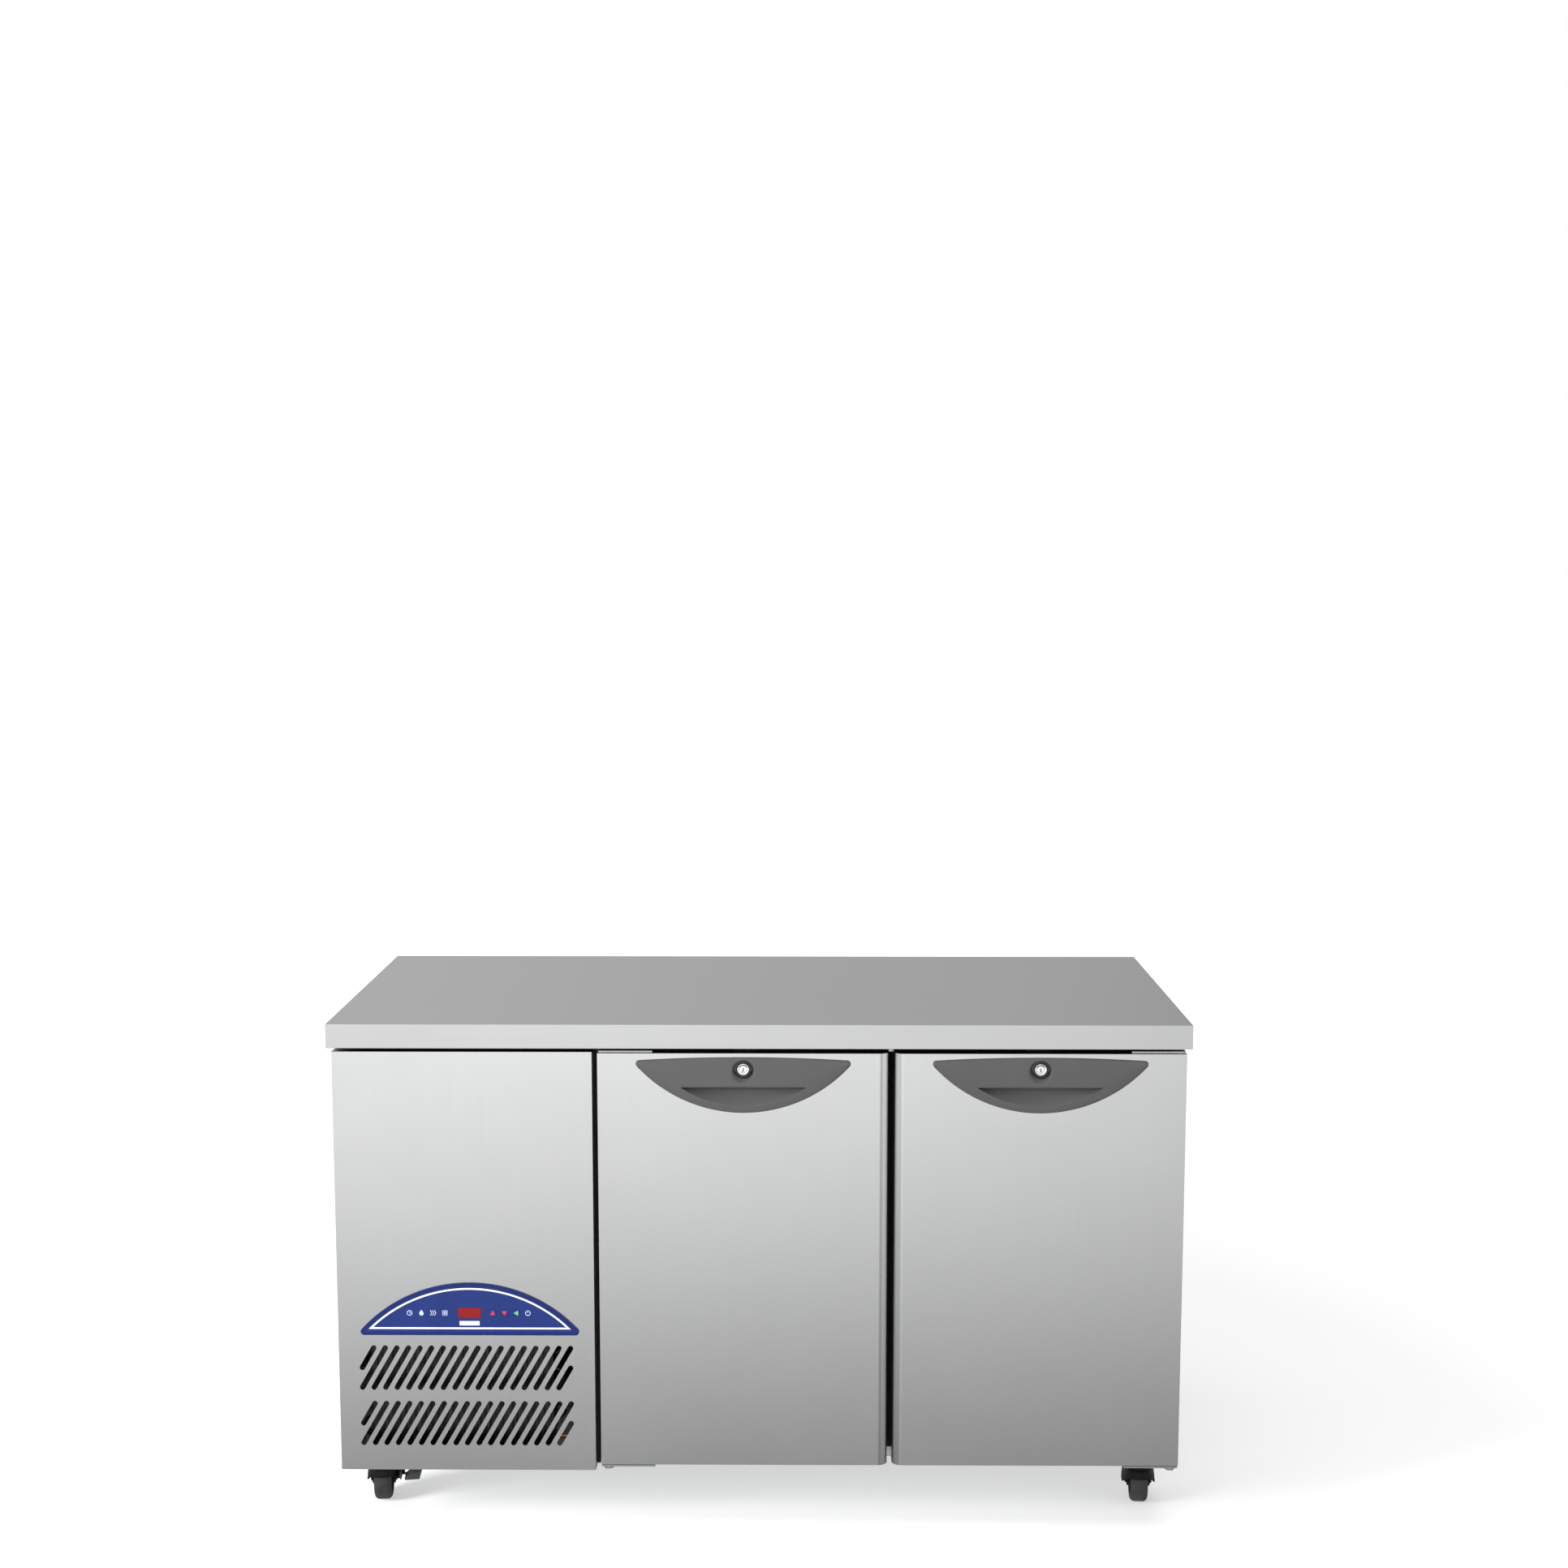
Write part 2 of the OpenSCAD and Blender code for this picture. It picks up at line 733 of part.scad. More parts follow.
module condenser_fan_blade() {
    color("black") translate([fan_x, shroud_back - 4, fan_z]) rotate([-90, 0, 0])
        rotor(30, fan_r, 5, 16, 4 + running_fit);
}

module condenser_fan_motor() {
    hub_y = shroud_back - 12;
    body_y = [shroud_back + 20, shroud_back + 72];
    leg_w = 40;
    color("dimgrey") {
        rod_y(fan_x, fan_z, 42, body_y[0], body_y[1]);
        rod_y(fan_x, fan_z, 14, body_y[0] - 8, body_y[0] + cut);
        rod_y(fan_x, fan_z, 4, hub_y, body_y[0]);
        block([fan_x - leg_w / 2, body_y[0] + 10, floor_z], [fan_x + leg_w / 2, body_y[1] - 10, fan_z - 30]);
        block([fan_x - leg_w, body_y[0], floor_z], [fan_x + leg_w, body_y[1], floor_z + 3]);
    }
}

module compressor() {
    edge = 34;
    foot = 78;
    color("black") {
        translate([comp_x, comp_y, comp_z]) rotate_extrude($fn = fine) {
            square([comp_r - edge, comp_h]);
            translate([0, edge]) square([comp_r, comp_h - 2 * edge]);
            for (z = [edge, comp_h - edge]) translate([comp_r - edge, z]) circle(r = edge, $fn = 64);
            translate([0, comp_h * 0.45]) square([comp_r + 3, 5]);
        }
        translate([comp_x, comp_y, comp_z - 4]) cylinder(r = comp_r - 22, h = 12, $fn = fine);
        block([comp_x - foot, comp_y - foot, comp_z - 4], [comp_x + foot, comp_y + foot, comp_z]);
        block([comp_x + comp_r - 22, comp_y - 24, comp_z + 50],
            [comp_x + comp_r + 22, comp_y + 24, comp_z + 110]);
        for (x = [-1, 1], y = [-1, 1])
            translate([comp_x + x * (foot - 14), comp_y + y * (foot - 14), floor_z])
                cylinder(r = 11, h = comp_z - floor_z - 3, $fn = round_fn);
    }
}

// Discharge, suction and liquid lines with the filter drier
module pipework() {
    r = 4;
    dip = 2;
    right = coil_x[1] + 18;
    liquid_x = coil_x[1] + 32;
    coil_mid = (coil_y[0] + coil_y[1]) / 2;
    top = comp_z + comp_h;
    drier_z = [coil_z[0] + 40, coil_z[0] + 130];
    color("peru") {
        pipe([[comp_x - 30, comp_y - 30, top - dip], [comp_x - 30, comp_y - 30, top + 30],
            [right, comp_y - 30, top + 30], [right, coil_mid, top + 30],
            [right, coil_mid, coil_z[1] - 20], [coil_x[1] - 15.5, coil_mid, coil_z[1] - 20]], r);
        pipe([[coil_x[1] - 15.5, coil_mid, coil_z[0] + 10], [liquid_x, coil_mid, coil_z[0] + 10],
            [liquid_x, coil_mid + 90, coil_z[0] + 10], [liquid_x, coil_mid + 90, evap_lo[2] - 0.5]], r);
        translate([liquid_x, coil_mid + 90, drier_z[0]])
            cylinder(r = 13, h = drier_z[1] - drier_z[0], $fn = round_fn);
        pipe([[comp_x + 30, comp_y + 30, top - dip], [comp_x + 30, comp_y + 30, top + 55],
            [right - 30, comp_y + 30, top + 55], [right - 30, comp_y + 30, evap_lo[2] - 0.5]], r + 1.5);
    }
}

module electrical_box() {
    lid = 12;
    lip = 2;
    color("grey") {
        block(ebox_lo, [ebox_hi[0], ebox_hi[1], ebox_hi[2] - lid]);
        block([ebox_lo[0] - lip, ebox_lo[1] - lip, ebox_hi[2] - lid],
            [ebox_hi[0] + lip, ebox_hi[1] + lip, ebox_hi[2]]);
        for (x = [ebox_lo[0] + 10, ebox_hi[0] - 30])
            block([x, ebox_lo[1] + 20, floor_z], [x + 20, ebox_lo[1] + 60, ebox_lo[2] + cut]);
    }
}

// Cord gland through the rear grille, its cord left out
module cable_gland() {
    color("black") difference() {
        union() {
            rod_y(gland_x, gland_z, 10, gland_y[0], gland_y[1] - 2);
            rod_y(gland_x, gland_z, 14, back_y, gland_y[1] - 2, 6);
            rod_y(gland_x, gland_z, 9, gland_y[1] - 3, gland_y[1]);
            rod_y(gland_x, gland_z, 14, back_y - sheet - 5, back_y - sheet, 6);
        }
        rod_y(gland_x, gland_z, gland_bore_r, gland_y[0] - cut, gland_y[1] + cut);
    }
}

// ---------- evaporator unit ----------

module evaporator_housing() {
    w = evap_wall;
    color("gainsboro") difference() {
        block(evap_lo, evap_hi);
        block([evap_lo[0] + w, evap_lo[1] + w, evap_lo[2] + w],
            [evap_hi[0] + cut, evap_hi[1] - w, evap_hi[2] - w]);
    }
}

module evaporator_coil() {
    color("lightgrey") finned_coil(
        [evap_lo[0] + evap_wall + 20, evap_lo[1] + evap_wall, evap_coil_z[0]],
        [skin_x - 50, evap_hi[1] - evap_wall, evap_coil_z[1]], 9, 2);
}

module evaporator_fan_motor() {
    top = evap_hi[2] - evap_wall;
    blade_z = evap_coil_z[1] + 22;
    color("dimgrey") {
        translate([evap_fan_x, 0, top - 42]) cylinder(r = 36, h = 42, $fn = round_fn);
        translate([evap_fan_x, 0, blade_z - 6]) cylinder(r = 4, h = top - 42 - blade_z + 7, $fn = round_fn);
    }
}

module evaporator_fan_blade() {
    color("white") translate([evap_fan_x, 0, evap_coil_z[1] + 22])
        rotor(24, evap_fan_r, 5, 14, 4 + running_fit);
}

// ---------- hinges and fasteners ----------

// Bent bracket above a door, whose front strip the lock's cam turns up behind
module lock_keeper() {
    w = 32;
    t = 1.5;
    foot = 22;
    strip_y = door_front + cam_y[0] - 5;
    z1 = worktop_z - 0.5;
    translate([door_mid - w / 2, 0, 0]) {
        block([0, strip_y, cabinet_top + 0.4], [w, strip_y + t, z1]);
        block([0, strip_y, z1 - t], [w, frame_y + t, z1]);
        block([0, frame_y, cabinet_top], [w, frame_y + t, z1]);
        block([0, frame_y, cabinet_top], [w, frame_y + foot, cabinet_top + t]);
    }
}

module door_brackets() {
    plate = 90;
    top_t = 3;
    z_low = door_z0 - 1.5 - top_t;
    pin_y = door_front + pin_inset;
    color("silver") for (side = ["left", "right"]) at_door(side) {
        block([door_x + 2, door_front + 2, cabinet_top],
            [door_x + plate, frame_y + 50, cabinet_top + top_t]);
        translate([door_x + pin_inset, pin_y, door_z1 - boss_h + 1])
            cylinder(r = pin_r, h = cabinet_top - door_z1 + boss_h, $fn = round_fn);
        block([door_x + 1, door_front + 2, z_low], [door_x + plate, frame_y, z_low + top_t]);
        block([door_x + 1, frame_y - top_t, base_z - 1], [door_x + plate, frame_y, door_z0 + 5]);
        translate([door_x + pin_inset, pin_y, z_low])
            cylinder(r = pin_r, h = door_z0 + boss_h - 1 - z_low, $fn = round_fn);
        translate([door_x + pin_inset, pin_y, z_low - 5]) cylinder(r = 8, h = 6, $fn = 6);
        lock_keeper();
    }
}

module fasteners() {
    color("silver") {
        for (p = grille_screws) {
            rod_y(p[0], p[1], 4, back_y, back_y + 2.4, 32);
            rod_y(p[0], p[1], 2, back_y - 8, back_y + cut, 24);
        }
        for (i = [0:3], b = plate_bolts) at_castor_plate(i) translate([b[0], b[1], 0]) {
            translate([0, 0, base_z - plate_t - 5]) cylinder(r = 6.5, h = 5, $fn = 6);
            translate([0, 0, base_z - plate_t - cut])
                cylinder(r = 4, h = plate_t + tray_t + 4 + cut, $fn = 24);
        }
        for (side = ["left", "right"], u = [40, 70]) at_door(side)
            translate([door_x + u, frame_y + 25, cabinet_top + 3]) {
                cylinder(r = 4.5, h = 2.4, $fn = 32);
                translate([0, 0, -14]) cylinder(r = 2.4, h = 15, $fn = 24);
            }
    }
}

// ---------- doors ----------

// Plan of a door: sharp at the hinge side, rolled at the free side, drawn inset by d
module door_plan(d) {
    translate([door_x, door_front]) difference() {
        translate([d, d]) square([door_w - 2 * d, door_t - 2 * d]);
        translate([door_w - roll_r, roll_r]) difference() {
            translate([0, -roll_r - cut]) square([roll_r + cut, roll_r + cut]);
            circle(r = roll_r - d, $fn = fine);
        }
    }
}

module door_body(d) {
    translate([0, 0, door_z0 + d]) linear_extrude(door_z1 - door_z0 - 2 * d) door_plan(d);
}

// The handle's outline on the door
module handle_outline() {
    translate([door_mid, handle_z]) crescent(handle_arc_r, handle_h, handle_bow_r, handle_end_r);
}

// The outline of its body inside the door, drawn inset by d
module handle_pocket(d) {
    translate([door_mid, handle_z]) lens(handle_arc_r, handle_h, handle_bow_r, d);
}

module hinge_blocks(grow) {
    inside = sheet / 2;
    for (z = [door_z0 + inside, door_z1 - inside - boss_h])
        block([door_x + inside - grow, door_front + inside - grow, z - grow],
            [door_x + boss + grow, door_front + boss + grow, z + boss_h + grow]);
}

module pin_bores(r) {
    translate([door_x + pin_inset, door_front + pin_inset, door_z0 - cut])
        cylinder(r = r, h = boss_h + 2 * cut, $fn = round_fn);
    translate([door_x + pin_inset, door_front + pin_inset, door_z1 - boss_h - cut])
        cylinder(r = r, h = boss_h + 2 * cut, $fn = round_fn);
}

module door_skin(side) {
    back_lip = 14;
    color("silver") at_door(side) difference() {
        union() {
            difference() {
                door_body(0);
                door_body(sheet);
            }
            hinge_blocks(0);
        }
        block([door_x + back_lip, door_back - sheet - cut, door_z0 + back_lip],
            [door_x + door_w - back_lip, door_back + cut, door_z1 - back_lip]);
        along_y(door_front - cut, door_front + 2 * sheet) handle_pocket(handle_body_inset - 0.5);
        pin_bores(pin_r + running_fit);
        translate([door_mid, door_front, 0])
            block([-9, cam_y[0] - 1, door_z1 - 2 * sheet], [20, cam_y[1] + 1, door_z1 + cut]);
    }
}

module door_insulation(side) {
    in = plateau_inset + inner_t + curve_gap;
    color("khaki") at_door(side) difference() {
        union() {
            door_body(sheet + curve_gap);
            block([door_x + in, door_back - sheet - cut, door_z0 + in],
                [door_x + door_w - in, door_back + plateau - curve_gap, door_z1 - in]);
        }
        hinge_blocks(curve_gap);
        along_y(door_front - cut, door_front + handle_depth + curve_gap)
            handle_pocket(handle_body_inset - curve_gap);
        translate([door_mid, door_front, 0])
            block([-12, handle_depth - cut, lock_z - 12], [36, cam_y[1] + 1.5, door_z1 + cut]);
    }
}

module door_inner_panel(side) {
    lo = [door_x + inner_inset, door_back, door_z0 + inner_inset];
    hi = [door_x + door_w - inner_inset, door_back + inner_t, door_z1 - inner_inset];
    in = plateau_inset;
    color("whitesmoke") at_door(side) difference() {
        union() {
            block(lo, hi);
            block([door_x + in, door_back, door_z0 + in],
                [door_x + door_w - in, door_back + plateau + inner_t, door_z1 - in]);
        }
        block([door_x + in + inner_t, door_back - cut, door_z0 + in + inner_t],
            [door_x + door_w - in - inner_t, door_back + plateau, door_z1 - in - inner_t]);
    }
}

// Push-in magnetic gasket: a flat foot and a narrower magnet bulb
module door_gasket(side) {
    y0 = door_back + inner_t;
    foot_t = 3;
    y1 = frame_y - 0.2;
    color("dimgrey") at_door(side) {
        gasket_loop(0, y0, y0 + foot_t);
        gasket_loop(2, y0 + foot_t - 0.5, y1);
    }
}

module gasket_loop(d, y0, y1) {
    lo = [door_x + hinge_gasket_inset + d, door_z0 + gasket_inset + d];
    hi = [door_x + door_w - gasket_inset - d, door_z1 - gasket_inset - d];
    w = gasket_w - 2 * d;
    difference() {
        block([lo[0], y0, lo[1]], [hi[0], y1, hi[1]]);
        block([lo[0] + w, y0 - cut, lo[1] + w], [hi[0] - w, y1 + cut, hi[1] - w]);
    }
}

module door_handle(side) {
    lip_t = 3;
    top_gap = 15;
    color("dimgrey") at_door(side) difference() {
        union() {
            along_y(door_front - moulding_proud, door_front) handle_outline();
            along_y(door_front - cut, door_front + handle_depth) handle_pocket(handle_body_inset);
        }
        along_y(door_front - moulding_proud - cut, door_front + handle_depth - 3)
            translate([door_mid, handle_z - grip_drop]) scoop(grip_half_w, grip_h);
        block([door_mid - grip_half_w + 8, door_front + lip_t, handle_z - grip_drop - 10],
            [door_mid + grip_half_w - 8, door_front + handle_depth - 3, handle_z - grip_drop + top_gap]);
        rod_y(door_mid, lock_z, lock_r + running_fit, door_front - moulding_proud - cut,
            door_front + handle_depth + cut, fine);
    }
}

module door_lock(side) {
    color("gainsboro") at_door(side) translate([door_mid, 0, lock_z]) difference() {
        union() {
            rod_y(0, 0, lock_r, door_front - moulding_proud - 1.5, door_front + cam_y[0], fine);
            rod_y(0, 0, lock_r - 1, door_front + cam_y[0] - cut, door_front + cam_y[1]);
            block([0, door_front + cam_y[0], -cam_w / 2], [cam_len, door_front + cam_y[1], cam_w / 2]);
        }
        rod_y(0, 0, 4.5, door_front - moulding_proud - 3, door_front - moulding_proud);
        block([-1, door_front - moulding_proud - 1, -3.2], [1, door_front + 8, 3.2]);
    }
}

module door_left_skin() { door_skin("left"); }
module door_left_insulation() { door_insulation("left"); }
module door_left_inner_panel() { door_inner_panel("left"); }
module door_left_gasket() { door_gasket("left"); }
module door_left_handle() { door_handle("left"); }
module lock_left() { door_lock("left"); }
module door_right_skin() { door_skin("right"); }
module door_right_insulation() { door_insulation("right"); }
module door_right_inner_panel() { door_inner_panel("right"); }
module door_right_gasket() { door_gasket("right"); }
module door_right_handle() { door_handle("right"); }
module lock_right() { door_lock("right"); }

// ---------- castors ----------

module at_castor_plate(i) {
    translate([castor_pins[i][0], castor_pins[i][1], 0]) children();
}

module castor_plates() {
    color("silver") for (i = [0:3]) at_castor_plate(i) difference() {
        union() {
            block([-plate_w / 2, -plate_d / 2, base_z - plate_t], [plate_w / 2, plate_d / 2, base_z]);
            translate([0, 0, head_top - 18]) cylinder(r = king_r, h = 20, $fn = round_fn);
        }
        for (b = plate_bolts) translate([b[0], b[1], base_z - plate_t - cut])
            cylinder(r = 4.2, h = plate_t + 2 * cut, $fn = 24);
    }
}

// Hooded swivel fork with its axle
module castor_fork(i) {
    leg_in = wheel_w / 2 + 1.5;
    leg_t = 3;
    leg_r = 11;
    leg_top = sqrt(pow(hood_r - 1, 2) - leg_r * leg_r);
    color("black") at_castor(i) difference() {
        union() {
            translate([0, 0, wheel_r + 8]) cylinder(r = head_r, h = head_top - wheel_r - 8, $fn = fine);
            rod_x(trail, wheel_r, hood_r, -hood_w / 2, hood_w / 2, fine);
        }
        rod_x(trail, wheel_r, hood_r - hood_t, -hood_w / 2 + hood_t, hood_w / 2 - hood_t, fine);
        block([-hood_w, -hood_w, -hood_r], [hood_w, 3 * hood_w, skirt_z]);
        translate([0, 0, head_top - 20]) cylinder(r = king_r + running_fit, h = 20 + cut, $fn = round_fn);
    }
    color("black") at_castor(i) {
        for (s = [0, 1]) mirror([s, 0, 0]) {
            rod_x(trail, wheel_r, leg_r, leg_in, leg_in + leg_t);
            block([leg_in, trail - leg_r, wheel_r],
                [leg_in + leg_t, trail + leg_r, wheel_r + leg_top]);
        }
        rod_x(trail, wheel_r, axle_r, -leg_in - leg_t - 3, leg_in + leg_t + 3);
    }
}

module castor_wheel(i) {
    edge = 6;
    color("dimgrey") at_castor(i) translate([0, trail, wheel_r]) rotate([0, 90, 0])
        rotate_extrude($fn = fine) difference() {
            union() {
                translate([0, -wheel_w / 2]) square([wheel_r - edge, wheel_w]);
                translate([0, -wheel_w / 2 + edge]) square([wheel_r, wheel_w - 2 * edge]);
                for (s = [-1, 1]) translate([wheel_r - edge, s * (wheel_w / 2 - edge)])
                    circle(r = edge, $fn = 32);
            }
            translate([-cut, -wheel_w]) square([cut + axle_r + running_fit, 2 * wheel_w]);
            translate([-wheel_r, -wheel_w]) square([wheel_r, 2 * wheel_w]);
            for (s = [-1, 1]) translate([12, s * wheel_w / 2 - 2.5]) square([14, 5]);
        }
}

// Side lever that locks the wheel, pivoted on a bolt in the hood's side
module castor_brake(i) {
    x0 = hood_w / 2 + 0.5;
    arm_t = 3;
    arm_l = 22;
    arm_z = [-5, 6];
    boss_r = 9;
    nut_r = 6;
    nut_h = 4;
    pin_cap = 0.8;
    tab_l = 38;
    tab_d = 26;
    tab_t = 3;
    tab_z = -2;
    tilt = 24;
    color("dimgrey") at_castor(i) translate([0, lever_pin_y, lever_pin_z]) {
        difference() {
            union() {
                rod_x(0, 0, boss_r, x0, x0 + arm_t);
                block([x0, -arm_l, arm_z[0]], [x0 + arm_t, 0, arm_z[1]]);
                translate([x0 + arm_t - 1, -tab_d, tab_z]) rotate([0, -tilt, 0]) cube([tab_l, tab_d, tab_t]);
                rod_x(0, 0, nut_r, x0 + arm_t - cut, x0 + arm_t + nut_h, 6);
            }
            rod_x(0, 0, lever_pin_r + running_fit, x0 - cut, x0 + arm_t - pin_cap);
        }
    }
}

module castor_fork_fl() { castor_fork(0); lever_pin(0); }
module castor_fork_fr() { castor_fork(1); }
module castor_fork_rl() { castor_fork(2); }
module castor_fork_rr() { castor_fork(3); lever_pin(3); }

module lever_pin(i) {
    root = 2;
    reach = 2.5;
    color("black") at_castor(i)
        rod_x(lever_pin_y, lever_pin_z, lever_pin_r, hood_w / 2 - root, hood_w / 2 + reach);
}

module castor_wheel_fl() { castor_wheel(0); }
module castor_wheel_fr() { castor_wheel(1); }
module castor_wheel_rl() { castor_wheel(2); }
module castor_wheel_rr() { castor_wheel(3); }
module castor_brake_fl() { castor_brake(0); }
module castor_brake_rr() { castor_brake(3); }

worktop();
worktop_core();
left_side_panel();
right_side_panel();
back_panel();
rear_grille();
base_tray();
cabinet_insulation();
cabinet_liner();
front_frame();
centre_post();
unit_panel();
control_bezel();
control_membrane();
display_window();
key_up();
key_down();
key_defrost();
key_standby();
condenser_coil();
fan_shroud();
condenser_fan_motor();
condenser_fan_blade();
compressor();
pipework();
electrical_box();
cable_gland();
evaporator_housing();
evaporator_coil();
evaporator_fan_motor();
evaporator_fan_blade();
air_panel();
racking();
shelf_left();
shelf_right();
door_brackets();
fasteners();
door_left_skin();
door_left_insulation();
door_left_inner_panel();
door_left_gasket();
door_left_handle();
lock_left();
door_right_skin();
door_right_insulation();
door_right_inner_panel();
door_right_gasket();
door_right_handle();
lock_right();
castor_plates();
castor_fork_fl();
castor_fork_fr();
castor_fork_rl();
castor_fork_rr();
castor_wheel_fl();
castor_wheel_fr();
castor_wheel_rl();
castor_wheel_rr();
castor_brake_fl();
castor_brake_rr();
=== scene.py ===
"""Looks of the two-door undercounter refrigerator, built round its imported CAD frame.

Everything is in metres, in the frame's own axes: +Z up, the doors face -Y.
"""
import json
import math

import bmesh
import bpy
from mathutils import Matrix, Vector


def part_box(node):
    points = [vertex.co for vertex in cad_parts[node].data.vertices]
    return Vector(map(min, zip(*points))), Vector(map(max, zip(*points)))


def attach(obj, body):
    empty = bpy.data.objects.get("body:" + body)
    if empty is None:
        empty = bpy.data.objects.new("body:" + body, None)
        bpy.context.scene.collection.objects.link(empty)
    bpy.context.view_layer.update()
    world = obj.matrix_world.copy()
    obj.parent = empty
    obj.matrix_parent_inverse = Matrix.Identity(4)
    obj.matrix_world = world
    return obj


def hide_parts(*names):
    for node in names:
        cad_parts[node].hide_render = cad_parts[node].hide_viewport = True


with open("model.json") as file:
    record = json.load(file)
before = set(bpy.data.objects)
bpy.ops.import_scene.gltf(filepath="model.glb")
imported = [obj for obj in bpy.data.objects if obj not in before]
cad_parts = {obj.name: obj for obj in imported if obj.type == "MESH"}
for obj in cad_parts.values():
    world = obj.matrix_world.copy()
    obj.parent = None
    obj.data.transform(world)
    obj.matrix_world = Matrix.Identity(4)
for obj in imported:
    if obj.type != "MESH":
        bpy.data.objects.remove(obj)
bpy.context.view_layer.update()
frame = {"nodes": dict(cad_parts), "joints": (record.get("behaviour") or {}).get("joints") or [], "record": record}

MM = 0.001
NODES = frame["nodes"]
CASTORS = ("fl", "fr", "rl", "rr")
BRAKES = ("fl", "rr")
SIDES = ("left", "right")
RIGHTWARDS = Vector((1, 0, 0))
FORWARDS = Vector((0, -1, 0))
UPWARDS = Vector((0, 0, 1))
WELD_DISTANCE = 2e-6
FLAT_DEGREES = 0.6
TINY = 1e-7


# -------- measures from the frame

def span(node):
    """Lowest and highest corner, and the middle, of a CAD node."""
    lo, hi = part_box(node)
    return lo, hi, (lo + hi) / 2


def joint(name):
    """A joint of the frame by its name."""
    return next(j for j in frame["joints"] if j["name"] == name)


# -------- mesh helpers

def add_object(name, data):
    """A new object in the scene."""
    made = bpy.data.objects.new(name, data)
    bpy.context.scene.collection.objects.link(made)
    return made


def finish_piece(name, bm, body, material, replaces=(), smooth=True):
    """Turns a bmesh in the row frame into a piece that rides on a body."""
    bmesh.ops.recalc_face_normals(bm, faces=bm.faces)
    mesh = bpy.data.meshes.new(name)
    bm.to_mesh(mesh)
    bm.free()
    piece = add_object(name, mesh)
    mesh.materials.append(material)
    for polygon in mesh.polygons:
        polygon.use_smooth = smooth
    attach(piece, body)
    if replaces:
        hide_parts(*replaces)
    return piece


def sharpen(piece, degrees=35):
    """Keeps edges sharper than an angle crisp under smooth shading."""
    piece.data.set_sharp_from_angle(angle=math.radians(degrees))
    return piece


def soften(piece, width, segments=3, degrees=35):
    """Rounds the sharp edges of a piece, or of a CAD node, with a small bevel."""
    custom = piece.data.attributes.get("custom_normal")
    if custom:
        piece.data.attributes.remove(custom)
    for polygon in piece.data.polygons:
        polygon.use_smooth = True
    for edge in piece.data.edges:
        edge.use_edge_sharp = False
    weld = piece.modifiers.new("weld", "WELD")
    weld.merge_threshold = WELD_DISTANCE
    planar = piece.modifiers.new("planar", "DECIMATE")
    planar.decimate_type = "DISSOLVE"
    planar.angle_limit = math.radians(FLAT_DEGREES)
    bevel = piece.modifiers.new("bevel", "BEVEL")
    bevel.width = width
    bevel.segments = segments
    bevel.limit_method = "ANGLE"
    bevel.angle_limit = math.radians(degrees)
    bevel.use_clamp_overlap = True
    bevel.harden_normals = False
    weighted = piece.modifiers.new("weighted", "WEIGHTED_NORMAL")
    weighted.keep_sharp = False
    weighted.weight = 100
    return piece


def grid_faces(bm, rows, closed_u=False, closed_v=False):
    """Quads over a list of rows of vertices; repeated vertices give triangles."""
    count_v = len(rows)
    count_u = len(rows[0])
    for v in range(count_v if closed_v else count_v - 1):
        for u in range(count_u if closed_u else count_u - 1):
            corners = [
                rows[v][u],
                rows[v][(u + 1) % count_u],
                rows[(v + 1) % count_v][(u + 1) % count_u],
                rows[(v + 1) % count_v][u],
            ]
            unique = list(dict.fromkeys(corners))
            if len(unique) > 2:
                bm.faces.new(unique)


def lathe(profile, centre, axis, steps=64):
    """Turns a closed profile of (radius, along) pairs about an axis into a solid."""
    bm = bmesh.new()
    turn = UPWARDS.rotation_difference(axis.normalized()).to_matrix()
    rings = []
    for radius, along in profile:
        if radius < TINY:
            vert = bm.verts.new(centre + turn @ Vector((0, 0, along)))
            rings.append([vert] * steps)
            continue
        rings.append([
            bm.verts.new(centre + turn @ Vector((
                radius * math.cos(2 * math.pi * k / steps),
                radius * math.sin(2 * math.pi * k / steps),
                along,
            )))
            for k in range(steps)
        ])
    grid_faces(bm, rings, closed_u=True, closed_v=profile[0][0] > TINY)
    return bm


def add_block(bm, lo, hi):
    """Adds a box to a bmesh."""
    for vert in bmesh.ops.create_cube(bm, size=1)["verts"]:
        vert.co = Vector(
            lo[i] + (vert.co[i] + 0.5) * (hi[i] - lo[i]) for i in range(3)
        )


def add_plate(bm, loop, y_front, y_back):
    """Adds a flat plate with the outline of a loop of (x, z) points."""
    front = [bm.verts.new((x, y_front, z)) for x, z in loop]
    back = [bm.verts.new((x, y_back, z)) for x, z in loop]
    bm.faces.new(front)
    bm.faces.new(list(reversed(back)))
    for k in range(len(loop)):
        n = (k + 1) % len(loop)
        bm.faces.new((front[k], back[k], back[n], front[n]))


def add_band(bm, outer, inner, y_front, y_back):
    """Adds a flat closed band between two loops of (x, z) points of equal length."""
    rows = [
        [bm.verts.new((x, y, z)) for x, z in loop]
        for loop, y in ((outer, y_front), (inner, y_front), (inner, y_back), (outer, y_back))
    ]
    grid_faces(bm, rows, closed_u=True, closed_v=True)


def circle_loop(x, z, radius, steps=32, start=0.0, sweep=360.0):
    """Points on a circle, or on an arc of it, from start over sweep degrees."""
    whole = abs(sweep) >= 360
    count = steps if whole else steps + 1
    return [
        (
            x + radius * math.cos(math.radians(start + sweep * k / steps)),
            z + radius * math.sin(math.radians(start + sweep * k / steps)),
        )
        for k in range(count)
    ]


# -------- material helpers

EVEN = (1, 1, 1)
MIDDLE = (0.3, 0.7)


def set_sockets(node, values):
    """Sets sockets by name, with _ in place of spaces."""
    for socket, value in values.items():
        node.inputs[socket.replace("_", " ")].default_value = value


